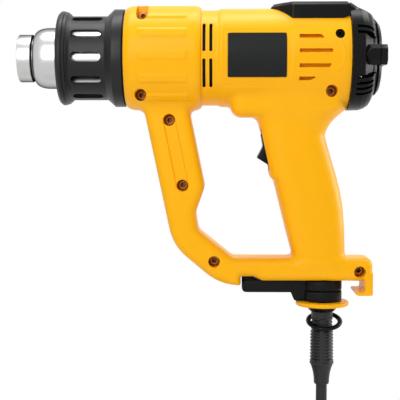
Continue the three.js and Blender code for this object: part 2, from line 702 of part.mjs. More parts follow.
// Front shroud with its lip, slots and spigot
function frontShroud() {
  const spigotR = DRUM_FRONT_R - WALL - SEAT_GAP;
  const waistIn = SHROUD_WAIST_R - SHROUD_WALL;
  const rise = LIP_R - SHROUD_WAIST_R;
  const body = latheX([
    [LIP_MOUTH_R, lipFrontX],
    [SHROUD_WAIST_R + rise * 0.4, lipFrontX],
    [SHROUD_WAIST_R + rise * 0.85, lipFrontX + LIP_LENGTH * 0.15],
    [LIP_R, lipFrontX + LIP_LENGTH * 0.36],
    [SHROUD_WAIST_R + rise * 0.75, lipFrontX + LIP_LENGTH * 0.7],
    [SHROUD_WAIST_R, lipRearX],
    [SHROUD_WAIST_R, shroudWaistRearX],
    [DRUM_FRONT_R, collarFrontX],
    [DRUM_FRONT_R, collarRearX],
    [spigotR, collarRearX],
    [spigotR, collarRearX + SPIGOT_LENGTH],
    [spigotR - SHROUD_WALL, collarRearX + SPIGOT_LENGTH],
    [spigotR - SHROUD_WALL, collarFrontX],
    [waistIn, shroudWaistRearX],
    [waistIn, lipRearX],
    [LIP_MOUTH_R, lipFrontX + LIP_LENGTH * 0.5],
    [LIP_MOUTH_R, lipFrontX],
  ]);
  const slotMiddle = (lipRearX + shroudWaistRearX) / 2;
  const cuts = Array.from({ length: SLOT_COUNT }, (_, i) => {
    const outline = new THREE.Shape();
    const half = SLOT_LENGTH / 2 - SLOT_WIDTH / 2;
    outline.absarc(half, 0, SLOT_WIDTH / 2, -Math.PI / 2, Math.PI / 2, false);
    outline.absarc(-half, 0, SLOT_WIDTH / 2, Math.PI / 2, Math.PI * 1.5, false);
    const slot = new THREE.ExtrudeGeometry(outline, { depth: LIP_R, bevelEnabled: false, curveSegments: 3 });
    const angle = radians(SLOT_FIRST_DEG) + (2 * Math.PI * i) / SLOT_COUNT;
    return solid(slot.translate(slotMiddle, 0, SHROUD_WAIST_R / 2).rotateX(Math.PI / 2 - angle)
      .translate(0, 0, AXIS_Z));
  });
  return cutAll(body, cuts);
}

add("front_shroud", frontShroud(), satinBlack);

// Steel nozzle tube: rolled tip, groove, dome and a rear flange that seats on the heater flange
const frontBossX = Math.max(screwPlaces[0][0], screwPlaces[1][0]);
const tubeRearX = frontBossX + bossR + 1.6;
const tipRearX = noseX + TIP_LENGTH;
const domeFrontX = tipRearX + GROOVE_LENGTH;
const domeRearX = domeFrontX + DOME_LENGTH;

function nozzleTube() {
  const dome = [0.25, 0.5, 0.75, 1].map((share) => {
    const turn = share * (Math.PI / 2);
    return [GROOVE_R + (TUBE_R - GROOVE_R) * Math.sin(turn), domeRearX - DOME_LENGTH * Math.cos(turn)];
  });
  const outside = [
    [TIP_R, noseX], [TIP_R, tipRearX], [GROOVE_R, tipRearX + 0.5], [GROOVE_R, domeFrontX], ...dome,
    [TUBE_R, tubeRearX - TUBE_WALL],
  ];
  const flange = [[TUBE_FLANGE_R, tubeRearX - TUBE_WALL], [TUBE_FLANGE_R, tubeRearX]];
  const inside = outside.slice(4).reverse().map(([r, x]) => [r - TUBE_WALL, x + TUBE_WALL]);
  const throat = [[GROOVE_R - TUBE_WALL, domeFrontX], [GROOVE_R - TUBE_WALL, tipRearX - 0.5],
    [TIP_R - TUBE_WALL, tipRearX - 1.5], [TIP_R - TUBE_WALL, noseX], [TIP_R, noseX]];
  return latheX([...outside, ...flange, ...inside, ...throat]);
}

add("nozzle_tube", nozzleTube(), steel);

// Heater: mica sleeve, ceramic cross core, wire helix, probe, and the flange plate across the drum
const tubeInnerR = TUBE_R - TUBE_WALL;
const micaOuterR = tubeInnerR - SEAT_GAP;
const micaInnerR = micaOuterR - MICA_WALL;
const flangeFrontX = tubeRearX + SEAT_GAP;
const flangeRearX = flangeFrontX + FLANGE_PLATE;
const ductFrontX = flangeRearX + SEAT_GAP;
const micaRearX = ductFrontX + DUCT_COLLAR_LENGTH;
const micaFrontX = domeRearX + 3;
const coreRearX = micaRearX - 2;
const coreFrontX = coreRearX - CORE_LENGTH;

add("heater_sleeve", latheX(ring(micaInnerR, micaOuterR, micaFrontX, micaRearX)), mica);

function heaterCore() {
  const endR = micaInnerR - SEAT_GAP - 0.2;
  const half = CORE_ARM_WIDTH / 2;
  const spans = [[coreFrontX, coreRearX, CORE_ARM_R], [coreFrontX, coreFrontX + CORE_END_LENGTH, endR],
    [coreRearX - CORE_END_LENGTH, coreRearX, endR]];
  const arms = spans.flatMap(([from, to, reach]) => [
    box([from, to], [-reach, reach], [AXIS_Z - half, AXIS_Z + half]),
    box([from, to], [-half, half], [AXIS_Z - reach, AXIS_Z + reach]),
  ]);
  return union(arms);
}

add("heater_core", heaterCore(), ceramic);

function heaterCoil() {
  const r = Math.hypot(CORE_ARM_R, CORE_ARM_WIDTH / 2) + 2 * WIRE_R + SEAT_GAP;
  const start = coreFrontX + CORE_END_LENGTH + 4 * WIRE_R;
  const end = coreRearX - CORE_END_LENGTH - 4 * WIRE_R;
  const steps = WIRE_TURNS * 8;
  const points = Array.from({ length: steps + 1 }, (_, i) => {
    const turn = (2 * Math.PI * i) / 8 + Math.PI / 4;
    return [start + ((end - start) * i) / steps, r * Math.cos(turn), AXIS_Z + r * Math.sin(turn)];
  });
  return tube(points, WIRE_R, 5);
}

add("heater_coil", heaterCoil(), copperWire);

const probeOff = (micaInnerR - SEAT_GAP - PROBE_R) * Math.SQRT1_2;
const probe = lathe(rod(PROBE_R, coreFrontX + 2, coreRearX + 8), 10).rotateZ(-Math.PI / 2);
add("temperature_probe", solid(probe.translate(0, probeOff, AXIS_Z - probeOff)), steel);

const drumInnerR = DRUM_R - WALL;
const flangeRing = ring(micaOuterR + SEAT_GAP, drumInnerR - SEAT_GAP, flangeFrontX, flangeRearX);
add("heater_flange", latheX(flangeRing), aluminium);

// Fan duct from the waist to the heater, fan and motor
const ductOuterR = Math.min(WAIST_R, BODY_R) - WALL - SEAT_GAP;
const fanRearX = bodyFrontX + 4;
const fanFrontX = fanRearX - FAN_LENGTH;
const motorFrontX = fanRearX + MOTOR_TO_FAN;
const motorRearX = motorFrontX + MOTOR_LENGTH;
const ductRearX = fanRearX + 2;

function fanDuct() {
  const neckIn = micaOuterR + SEAT_GAP;
  const neckOut = neckIn + DUCT_WALL;
  return latheX([
    [neckIn, ductFrontX], [neckOut, ductFrontX], [neckOut, ductFrontX + DUCT_COLLAR_LENGTH],
    [ductOuterR, waistFrontX + 1], [ductOuterR, ductRearX], [ductOuterR - DUCT_WALL, ductRearX],
    [ductOuterR - DUCT_WALL, waistFrontX + 1], [neckIn, ductFrontX + DUCT_COLLAR_LENGTH],
    [neckIn, ductFrontX],
  ]);
}

add("fan_duct", fanDuct(), satinBlack);

function fan() {
  const tip = ductOuterR - DUCT_WALL - FAN_TIP_GAP;
  const root = FAN_HUB_R - 2;
  const chord = (FAN_LENGTH - BLADE_THICKNESS) / Math.cos(radians(BLADE_PITCH_DEG));
  const hub = latheX(ring(SHAFT_R + SEAT_GAP, FAN_HUB_R, fanFrontX, fanRearX), SMALL_ROUND);
  const blades = Array.from({ length: FAN_BLADES }, (_, i) => {
    const blade = new THREE.BoxGeometry(chord * 0.92, BLADE_THICKNESS, tip - root);
    blade.rotateZ(radians(BLADE_PITCH_DEG)).translate((fanFrontX + fanRearX) / 2, 0, (tip + root) / 2 - 0.4);
    return solid(blade.rotateX((2 * Math.PI * i) / FAN_BLADES).translate(0, 0, AXIS_Z));
  });
  const room = latheX(rod(tip, fanFrontX, fanRearX));
  return union([hub, ...blades]).intersect(room);
}

add("fan", fan(), satinBlack);
const shaftBore = SHAFT_R + SEAT_GAP;
add("motor_shaft", latheX(rod(SHAFT_R, fanFrontX - 1, motorRearX - 8), SMALL_ROUND), steel);

const motorBody = latheX([[0, motorRearX - 7], [shaftBore, motorRearX - 7], [shaftBore, motorFrontX],
  [5, motorFrontX], [5, motorFrontX + 2], [MOTOR_R - 1.5, motorFrontX + 2], [MOTOR_R, motorFrontX + 3.5],
  [MOTOR_R, motorRearX - 1.5], [MOTOR_R - 1.5, motorRearX], [0, motorRearX]], SMALL_ROUND);
add("motor", motorBody, aluminium);

// A spoked ring holds each end of the motor in the barrel
function motorMount(fromX) {
  const outer = BODY_R - WALL - SEAT_GAP;
  const inner = MOTOR_R + SEAT_GAP;
  const toX = fromX + MOUNT_THICKNESS;
  const spoke = [[-outer, outer], [-MOUNT_RIM, MOUNT_RIM]];
  const windows = latheX(ring(inner + MOUNT_RIM, outer - MOUNT_RIM, fromX - 1, toX + 1), SMALL_ROUND)
    .subtract(box([fromX - 2, toX + 2], spoke[0], spoke[1].map((half) => AXIS_Z + half)))
    .subtract(box([fromX - 2, toX + 2], spoke[1], spoke[0].map((half) => AXIS_Z + half)));
  return latheX(ring(inner, outer, fromX, toX)).subtract(windows);
}

add("motor_mount_front", motorMount(motorFrontX + 5), satinBlack);
add("motor_mount_rear", motorMount(motorRearX - 5 - MOUNT_THICKNESS), satinBlack);

// Control board behind the motor, with its heat sink, capacitor and potentiometer
const boardRearX = CAP_JOINT_X - BOARD_TO_CAP;
const boardFrontX = boardRearX - BOARD_THICKNESS;
const boardReach = BODY_R - WALL - 2 * SEAT_GAP;
const boardHalfWidth = capScrewSeat - SEAT_GAP - CAP_TONGUE_THICKNESS - BOARD_SIDE_GAP;
const boardHalfHeight = Math.sqrt(boardReach ** 2 - boardHalfWidth ** 2);
add("control_board", box([boardFrontX, boardRearX], [-boardHalfWidth, boardHalfWidth],
  [AXIS_Z - boardHalfHeight, AXIS_Z + boardHalfHeight]), greenBoard);

function heatSink() {
  const back = boardFrontX - SEAT_GAP;
  const low = AXIS_Z + boardHalfHeight - SINK_HEIGHT - 2;
  const plates = [box([back - SINK_BASE, back], [-SINK_WIDTH / 2, SINK_WIDTH / 2], [low, low + SINK_HEIGHT])];
  for (let i = 0; i < SINK_FINS; i++) {
    const y = -SINK_WIDTH / 2 + ((SINK_WIDTH - SINK_BASE) * i) / (SINK_FINS - 1);
    plates.push(box([back - SINK_DEPTH, back], [y, y + SINK_BASE], [low, low + SINK_HEIGHT]));
  }
  return union(plates);
}

add("heat_sink", heatSink(), aluminium);
const capacitorEndX = boardFrontX - SEAT_GAP;
const capacitor = lathe(rod(CAPACITOR_R, capacitorEndX - CAPACITOR_LENGTH, capacitorEndX), SMALL_ROUND)
  .rotateZ(-Math.PI / 2).translate(0, -boardHalfWidth / 2, AXIS_Z - CAPACITOR_R);
add("capacitor", solid(capacitor), black);

const potFrontX = boardRearX + SEAT_GAP;
const potRearX = potFrontX + POT_LENGTH;
const potBore = POT_SHAFT_R + SEAT_GAP;
const capRearX = CAP_JOINT_X + SEAT_GAP + CAP_LENGTH;
const dialFrontX = capRearX + RUN_GAP;
const dialRearX = dialFrontX + DIAL_RISE;
const shaftEndX = dialFrontX + DIAL_RISE / 2;
add("potentiometer", latheX([[0, potFrontX], [POT_R, potFrontX], [POT_R, potRearX], [potBore, potRearX],
  [potBore, potFrontX + 2], [0, potFrontX + 2]], SMALL_ROUND), greyPlastic);
add("potentiometer_shaft", latheX(rod(POT_SHAFT_R, potFrontX + 2 + RUN_GAP, shaftEndX), SMALL_ROUND), steel);

// Rear cap: bowl, sloping top, index ribs, slots and two tongues inside the housing
const capFrontX = CAP_JOINT_X + SEAT_GAP;
const capFacetX = capRearX - 2.6;
const slopeEndZ = AXIS_Z + CAP_BOWL_R + 1.8;

// Everything above the cap's sloping top, let down by drop
function aboveSlope(drop) {
  const rise = coverTopZ - slopeEndZ;
  const run = capFacetX - capFrontX;
  const line = (x) => coverTopZ - drop - ((x - capFrontX) * rise) / run;
  const [from, to] = [capFrontX - SPIGOT_LENGTH, capRearX + 1];
  const roof = AXIS_Z + 2 * CAP_R;
  return plateXZ([[from, line(from)], [to, line(to)], [to, roof], [from, roof]], 2 * CAP_R);
}

// Pointed rib on each side of the cap, in line with the dial's bar
function indexRibs() {
  const half = DIAL_BAR_HALF;
  const tipX = capRearX - INDEX_LENGTH;
  const shoulderX = capRearX - INDEX_SHOULDER;
  const endX = capRearX + DIAL_BAR_BEVEL;
  const outline = [[tipX, 0], [shoulderX, half], [endX, half], [endX, -half], [shoulderX, -half]]
    .map(([x, z]) => [x, AXIS_Z + z]);
  return plateXZ(outline, INDEX_REACH, DIAL_BAR_BEVEL, 1)
    .subtract(box([tipX - 1, endX + 1], [-CAP_BOWL_R, CAP_BOWL_R], [AXIS_Z - 2 * half, AXIS_Z + 2 * half]))
    .subtract(box([capRearX, endX + 1], [-CAP_R, CAP_R], [AXIS_Z - 2 * half, AXIS_Z + 2 * half]));
}

function rearCap() {
  const sideX = capFrontX + CAP_SIDE_LENGTH;
  const spigotR = BODY_R - WALL - SEAT_GAP;
  const slope = [[capFrontX, AXIS_Z + CAP_BOWL_R / 2], [capFrontX, coverTopZ], [capFacetX, slopeEndZ],
    [capRearX, AXIS_Z + CAP_BOWL_R - 1.4], [capRearX, AXIS_Z + CAP_BOWL_R / 2]];
  const outside = latheX([[0, capFrontX], [CAP_R, capFrontX], [CAP_R, sideX], [CAP_R - 1.6, sideX + 3],
    [CAP_FACET_R + 1.2, capFacetX], [CAP_BOWL_R, capRearX], [0, capRearX]]);
  const block = union([outside, plateXZ(slope, CAP_HALF_TOP, CAP_BEVEL, 1), indexRibs()]);
  const hollow = latheX([[0, capFrontX - 1], [spigotR - CAP_WALL, capFrontX - 1],
    [spigotR - CAP_WALL, capFrontX], [CAP_R - CAP_WALL - 1.6, sideX],
    [CAP_FACET_R - CAP_WALL, capFacetX - CAP_WALL], [CAP_BOWL_R - CAP_WALL, capRearX - CAP_WALL],
    [0, capRearX - CAP_WALL]]);
  const spigot = latheX(ring(spigotR - CAP_WALL, spigotR, capFrontX - SPIGOT_LENGTH, capFrontX + 1));
  const slopeRun = capFacetX - capFrontX;
  const slopeWall = (CAP_WALL * Math.hypot(coverTopZ - slopeEndZ, slopeRun)) / slopeRun;
  let cap = block.subtract(aboveSlope(0)).subtract(hollow.subtract(aboveSlope(slopeWall))).add(spigot);
  cap = cap.subtract(latheX(rod(potBore, capFrontX, capRearX + 1), SMALL_ROUND));
  for (const side of [-1, 1]) {
    const slotY = side < 0 ? [-2 * CAP_R, -CAP_BOWL_R - SEAT_GAP] : [CAP_BOWL_R + SEAT_GAP, 2 * CAP_R];
    for (const turn of CAP_SLOT_DEGS) {
      const slot = box([capFrontX + CAP_SLOT_START, capRearX + 1], slotY,
        [-CAP_SLOT_HEIGHT / 2, CAP_SLOT_HEIGHT / 2]);
      cap = cap.subtract(slot.rotate([side * turn, 0, 0]).translate([0, 0, AXIS_Z]));
    }
    const tongueOut = side * (capScrewSeat - SEAT_GAP);
    const tongueIn = tongueOut - side * CAP_TONGUE_THICKNESS;
    const tongue = box([capFrontX - CAP_TONGUE_LENGTH, capFrontX + 1],
      [Math.min(tongueOut, tongueIn), Math.max(tongueOut, tongueIn)],
      [capScrewZ - CAP_TONGUE_HEIGHT / 2, capScrewZ + CAP_TONGUE_HEIGHT / 2]);
    cap = cap.add(tongue);
    const reach = side < 0 ? [-2 * CAP_R, tongueOut] : [tongueOut, 2 * CAP_R];
    cap = cap.subtract(latheY(rod(CAP_SCREW_HEAD_R + SEAT_GAP, ...reach), capScrewX, capScrewZ, SMALL_ROUND));
    const hole = side < 0 ? [-CAP_R, 0] : [0, CAP_R];
    cap = cap.subtract(latheY(rod(SCREW_SHANK_R + SEAT_GAP, ...hole), capScrewX, capScrewZ));
  }
  return cap;
}

add("rear_cap", rearCap(), black);

for (const [name, side] of [["cap_screw_left", -1], ["cap_screw_right", 1]]) {
  const length = CAP_TONGUE_THICKNESS + 1;
  const profile = screw(CAP_SCREW_HEAD_R, SCREW_HEAD_HEIGHT, SCREW_SHANK_R, SCREW_RECESS_R, length);
  const placed = profile.map(([r, along]) => [r, side * (capScrewSeat + SCREW_HEAD_HEIGHT - along)]);
  add(name, latheY(placed, capScrewX, capScrewZ), black);
}

// Temperature dial: low disc with a grip bar across it
function dial() {
  const faceX = dialFrontX + DIAL_FACE_RISE;
  const disc = latheX([[0, dialFrontX], [DIAL_R, dialFrontX], [DIAL_R, dialFrontX + 0.6],
    [DIAL_FACE_R, faceX - 0.2], [DIAL_FACE_R - 0.6, faceX], [0, faceX]]);
  const half = DIAL_BAR_HALF;
  const hiddenX = dialFrontX - DIAL_BAR_BEVEL;
  const bar = [[hiddenX, AXIS_Z - half], [hiddenX, AXIS_Z + half], [dialRearX, AXIS_Z + half],
    [dialRearX, AXIS_Z - half]];
  const front = box([hiddenX - 1, dialFrontX], [-2 * DIAL_R, 2 * DIAL_R],
    [AXIS_Z - 2 * half, AXIS_Z + 2 * half]);
  const bore = latheX(rod(potBore, dialFrontX - 1, shaftEndX + SEAT_GAP), SMALL_ROUND);
  return disc.add(plateXZ(bar, DIAL_BAR_REACH, DIAL_BAR_BEVEL, 1).subtract(front)).subtract(bore);
}

add("temperature_dial", dial(), black);

// Top cover: a shallow bevelled block on the barrel's back with a pointed front
function topCover() {
  const rear = CAP_JOINT_X;
  const front = rear - COVER_LENGTH;
  const prow = [...COVER_PROW, [COVER_PROW_LENGTH, COVER_HALF], [COVER_LENGTH, COVER_HALF]];
  const near = prow.map(([back, half]) => [front + back, -half]);
  const plan = [...near, ...near.map(([x, half]) => [x, -half]).reverse()];
  const height = coverTopZ - AXIS_Z;
  const block = new THREE.ExtrudeGeometry(shapeOf(plan), {
    depth: height - COVER_BEVEL,
    bevelThickness: COVER_BEVEL,
    bevelSize: COVER_BEVEL,
    bevelOffset: -COVER_BEVEL,
    bevelSegments: 1,
  });
  const under = latheX(rod(BODY_R + SEAT_GAP, front - WALL, rear + WALL));
  const skirt = box([front - WALL, rear + WALL], [-BODY_R, BODY_R], [AXIS_Z - BODY_R, AXIS_Z + COVER_SKIRT]);
  return solid(block.translate(0, 0, AXIS_Z)).subtract(under).subtract(skirt);
}

add("top_cover", topCover(), black);

// Rocker switch in the grip's front, leaning with it
const switchGroup = new THREE.Group();
switchGroup.position.set(SWITCH_X, 0, SWITCH_Z);
switchGroup.rotation.y = -radians(SWITCH_LEAN_DEG);
tool.add(switchGroup);

const pinHalf = ROCKER_HALF + RUN_GAP + FRAME_RIM * 0.6;
const rockerBody = plateXZ(ROCKER_OUTLINE, ROCKER_HALF, 1, 1);
add("rocker", rockerBody.add(latheY(rod(ROCKER_PIN_R, -pinHalf, pinHalf), 0, 0)), black, switchGroup);

function switchFrame() {
  const whole = box([FRAME_FRONT, FRAME_BACK], [-FRAME_HALF, FRAME_HALF], [FRAME_BOTTOM, FRAME_TOP]);
  const inside = ROCKER_HALF + RUN_GAP;
  const window = box([FRAME_FRONT - 1, FRAME_BACK + 1], [-inside, inside],
    [FRAME_BOTTOM + FRAME_RIM, FRAME_TOP - FRAME_RIM]);
  const pinHole = latheY(rod(ROCKER_PIN_R + RUN_GAP, -FRAME_HALF - 1, FRAME_HALF + 1), 0, 0);
  return whole.subtract(window).subtract(pinHole);
}

add("switch_frame", switchFrame(), black, switchGroup);
const moduleFront = FRAME_BACK + SEAT_GAP;
add("switch_module", box([moduleFront, moduleFront + MODULE_DEPTH], [-MODULE_HALF, MODULE_HALF],
  [FRAME_BOTTOM + 1, FRAME_TOP - 3]), greyPlastic, switchGroup);

// Swivel stand: hub fixed in the bar, arm turning on the hub's spigot
const standTopZ = BAR_UNDER_Z - RUN_GAP;
const standLowZ = standTopZ - ARM_THICKNESS;
const hubTopZ = standLowZ - RUN_GAP;
const hubLowZ = hubTopZ - HUB_RING;
const barFloorZ = BAR_UNDER_Z + WALL;
const hubFlangeZ = barFloorZ + SEAT_GAP;
const tailBore = TAIL_R + RUN_GAP;
const clampLowZ = hubFlangeZ + HUB_FLANGE + SEAT_GAP;
const clampTopZ = clampLowZ + CLAMP_HEIGHT;
const clampBore = CLAMP_SCREW_R + SEAT_GAP;
const hubFlangeR = CLAMP_SCREW_SPAN + CLAMP_SCREW_R + HUB_FLANGE_RIM;
const clampHalfLength = CLAMP_SCREW_SPAN + CLAMP_SCREW_R + CLAMP_END;

function standHub() {
  const body = latheZ([[tailBore, hubLowZ], [HUB_R, hubLowZ], [HUB_R, hubTopZ], [SPIGOT_R, hubTopZ],
    [SPIGOT_R, hubFlangeZ], [hubFlangeR, hubFlangeZ], [hubFlangeR, hubFlangeZ + HUB_FLANGE],
    [tailBore, hubFlangeZ + HUB_FLANGE], [tailBore, hubLowZ]], POST_X, 24);
  const holes = [-1, 1].map((side) => latheZ(rod(clampBore, hubFlangeZ - 1, clampTopZ),
    POST_X + side * CLAMP_SCREW_SPAN, SCREW_ROUND));
  return cutAll(body, holes);
}

add("stand_hub", standHub(), satinBlack);

function supportStand() {
  const bore = SPIGOT_R + RUN_GAP;
  const hubRing = latheZ(ring(bore, HUB_R, standLowZ, standTopZ), POST_X, 24);
  const plan = [[ARM_TIP_X + 2, -ARM_HALF], [ARM_TIP_X, -ARM_HALF + 2], [ARM_TIP_X, ARM_HALF - 2],
    [ARM_TIP_X + 2, ARM_HALF], [POST_X, ARM_HALF + 3], [POST_X, -ARM_HALF - 3]];
  const arm = new THREE.ExtrudeGeometry(shapeOf(plan), {
    depth: ARM_THICKNESS + ARM_DROP,
    bevelEnabled: false,
  });
  const nub = box([ARM_TIP_X, ARM_TIP_X + ARM_NUB_LENGTH], [-ARM_HALF + 2, ARM_HALF - 2],
    [standLowZ - ARM_DROP + 1, NOTCH_Z - RUN_GAP]);
  const armLowZ = standLowZ - ARM_DROP;
  const web = [[POST_X - WEB_REACH - 4, armLowZ + 2], [POST_X - WEB_REACH, hubLowZ + 2],
    [POST_X - WEB_REACH + 2, hubLowZ + RUN_GAP], [POST_X - HUB_R + 3, hubLowZ + RUN_GAP],
    [POST_X - HUB_R + 3, armLowZ + 2]];
  const hubRoom = latheZ(rod(HUB_R + RUN_GAP, hubLowZ - 1, hubTopZ + RUN_GAP), POST_X, 24);
  const knuckle = plateXZ(web, ARM_HALF, 1, 1);
  const reach = union([solid(arm.translate(0, 0, armLowZ)), nub, knuckle]).subtract(hubRoom);
  const whole = reach.add(hubRing);
  return whole.subtract(latheZ(rod(bore, standLowZ - 1, standTopZ + 1), POST_X, 24));
}

add("support_stand", supportStand(), satinBlack);

// Retaining ring, gland collar with its lug, and the hanging ring
const ringTopZ = hubLowZ - SEAT_GAP;
const ringLowZ = ringTopZ - RING_THICKNESS;
const glandTopZ = ringLowZ - SEAT_GAP;
const glandLowZ = glandTopZ - GLAND_HEIGHT;
const sleeveTopZ = glandLowZ - SEAT_GAP;
const ringProfile = [[tailBore, ringLowZ], [RING_R - RING_BEVEL, ringLowZ], [RING_R, ringLowZ + RING_BEVEL],
  [RING_R, ringTopZ - RING_BEVEL], [RING_R - RING_BEVEL, ringTopZ], [tailBore, ringTopZ],
  [tailBore, ringLowZ]];
add("retaining_ring", latheZ(ringProfile, POST_X, 24), yellow);

const loopX = POST_X + LOOP_SHIFT;
const loopBackY = LOOP_R * Math.cos(radians(LOOP_TILT_DEG));
const loopBackZ = LOOP_Z + LOOP_R * Math.sin(radians(LOOP_TILT_DEG));

function glandCollar() {
  const cone = latheZ([[tailBore, glandLowZ], [GLAND_LOW_R, glandLowZ], [GLAND_TOP_R, glandTopZ],
    [tailBore, glandTopZ], [tailBore, glandLowZ]], POST_X, 24);
  const half = LUG_THICKNESS / 2;
  const eye = lathe(rod(LUG_R, -half, half), 16).rotateZ(-Math.PI / 2).translate(loopX, loopBackY, loopBackZ);
  const stem = box([loopX - half, loopX + half], [GLAND_LOW_R - 2, loopBackY + LUG_R * 0.8],
    [loopBackZ, glandTopZ]);
  const hole = lathe(rod(LOOP_WIRE_R + RUN_GAP, -half - 1, half + 1), 12).rotateZ(-Math.PI / 2);
  const room = latheZ(rod(SLEEVE_NECK_R + SEAT_GAP, LOOP_Z - 20, glandLowZ), POST_X, 24);
  return union([cone, solid(eye), stem]).subtract(room)
    .subtract(solid(hole.translate(loopX, loopBackY, loopBackZ)));
}

add("gland_collar", glandCollar(), black);
const loop = new THREE.TorusGeometry(LOOP_R, LOOP_WIRE_R, 8, 24).rotateX(radians(LOOP_TILT_DEG));
add("hanging_ring", solid(loop.translate(loopX, 0, LOOP_Z)), black);

// Cord sleeve: tail up to the clamp, neck, ribbed length and tapered end
function cordSleeve() {
  const ribTopZ = sleeveTopZ - SLEEVE_NECK_LENGTH;
  const pitch = SLEEVE_RIB_LENGTH / SLEEVE_RIBS;
  const ribs = Array.from({ length: SLEEVE_RIBS }, (_, i) => {
    const z = ribTopZ - pitch * i;
    return [[SLEEVE_R, z - pitch * 0.3], [SLEEVE_R, z - pitch * 0.7],
      [SLEEVE_R - SLEEVE_RIB_DEPTH, z - pitch]];
  }).flat();
  const taperZ = ribTopZ - SLEEVE_RIB_LENGTH;
  const endZ = taperZ - SLEEVE_TAPER_LENGTH;
  return latheZ([[0, clampTopZ], [TAIL_R, clampTopZ], [TAIL_R, sleeveTopZ], [SLEEVE_NECK_R, sleeveTopZ],
    [SLEEVE_NECK_R, ribTopZ], ...ribs, [SLEEVE_R - 2, taperZ - SLEEVE_TAPER_LENGTH * 0.45],
    [SLEEVE_END_R, endZ], [SLEEVE_END_R, endZ - SLEEVE_END_LENGTH], [0, endZ - SLEEVE_END_LENGTH]], POST_X, 14);
}

add("cord_sleeve", cordSleeve(), rubber);

// Clamp on the hub's flange, its two screws, and the terminal block between the grip's walls
function cordClamp() {
  const block = box([POST_X - clampHalfLength, POST_X + clampHalfLength],
    [-CLAMP_HALF_WIDTH, CLAMP_HALF_WIDTH], [clampLowZ, clampTopZ]);
  const holes = [-1, 1].map((side) => latheZ(rod(clampBore, clampLowZ - 1, clampTopZ + 1),
    POST_X + side * CLAMP_SCREW_SPAN, SCREW_ROUND));
  return cutAll(block, [latheZ(rod(TAIL_R + SEAT_GAP, clampLowZ - 1, clampTopZ + 1), POST_X), ...holes]);
}

add("cord_clamp", cordClamp(), satinBlack);
for (const [name, side] of [["clamp_screw_front", -1], ["clamp_screw_rear", 1]]) {
  const profile = screw(CLAMP_SCREW_R * 2, 2, CLAMP_SCREW_R, CLAMP_SCREW_R * 0.8, CLAMP_HEIGHT + HUB_FLANGE);
  const placed = profile.map(([r, along]) => [r, clampTopZ + SEAT_GAP + 2 - along]);
  add(name, latheZ(placed, POST_X + side * CLAMP_SCREW_SPAN, SCREW_ROUND), steel);
}

const terminalHalf = 0.9 * (atHeight(gripSections, TERMINAL_Z - TERMINAL_HEIGHT / 2, 3) - WALL) - SEAT_GAP;
const terminalMiddle = (atHeight(gripSections, TERMINAL_Z, 1) + atHeight(gripSections, TERMINAL_Z, 2)) / 2;
add("terminal_block", box([terminalMiddle - TERMINAL_LENGTH / 2, terminalMiddle + TERMINAL_LENGTH / 2],
  [-terminalHalf, terminalHalf],
  [TERMINAL_Z - TERMINAL_HEIGHT / 2, TERMINAL_Z + TERMINAL_HEIGHT / 2]), greyPlastic);

// Mains lead
const cordPlaces = CORD_POINTS.map((p) => new THREE.Vector3(...p));
const cordCurve = new THREE.CatmullRomCurve3(cordPlaces, false, "centripetal");
const cordSection = new THREE.Shape(Array.from({ length: 10 }, (_, j) => {
  const turn = (2 * Math.PI * j) / 10;
  return new THREE.Vector2(CORD_R * Math.cos(turn), CORD_R * Math.sin(turn));
}));
const cordTube = new THREE.ExtrudeGeometry(cordSection, {
  steps: 16,
  bevelEnabled: false,
  extrudePath: cordCurve,
});
add("cord", solid(cordTube), rubber);

// The coil spirals in on the floor, climbs in the half turn where it reverses, and spirals out on top
const coilTurns = 2 * COIL_TURNS_IN + 0.5;
const coilLayer = COIL_PITCH;

function coilPoint(turns) {
  const climb = Math.min(Math.max((turns - COIL_TURNS_IN) / 0.5, 0), 1);
  const outward = Math.max(turns - COIL_TURNS_IN - 0.5, 0);
  const inward = Math.min(turns, COIL_TURNS_IN);
  const turnsOut = COIL_TURNS_IN - inward + outward;
  const r = COIL_INNER_R + COIL_PITCH * turnsOut - COIL_DIP * Math.sin(Math.PI * climb);
  const angle = 2 * Math.PI * turns;
  const z = COIL_LAY_Z + coilLayer * (climb - Math.sin(2 * Math.PI * climb) / (2 * Math.PI));
  return [COIL_X + r * Math.cos(angle), COIL_Y + r * Math.sin(angle), z];
}

const coilSteps = 24 * coilTurns;
const coilLine = Array.from({ length: coilSteps + 1 }, (_, i) => coilPoint(i / 24));
const [tailX, tailY, tailZ] = coilLine.at(-1);
const plugZ = tailZ - COIL_TAIL_DROP;
for (let i = 1; i <= 5; i++) {
  const share = i / 5;
  const eased = Math.min(share / 0.7, 1);
  const drop = COIL_TAIL_DROP * eased * eased * (3 - 2 * eased);
  coilLine.push([tailX, tailY - COIL_TAIL * share, tailZ - drop]);
}
coilLine.unshift([coilLine[0][0], COIL_Y - 2 * CORD_R, coilLine[0][2]]);

// Least gap between lengths of the coil that aren't neighbours along it
let leastGap = Infinity;
for (let i = 0; i < coilLine.length; i++) {
  for (let j = i + 12; j < coilLine.length; j++) {
    const apart = Math.hypot(...coilLine[i].map((value, axis) => value - coilLine[j][axis]));
    leastGap = Math.min(leastGap, apart - 2 * CORD_R);
  }
}
console.log(`least gap of the coil to itself ${leastGap.toFixed(2)} mm`);
add("cord_coil", tube(coilLine, CORD_R, 6), rubber);

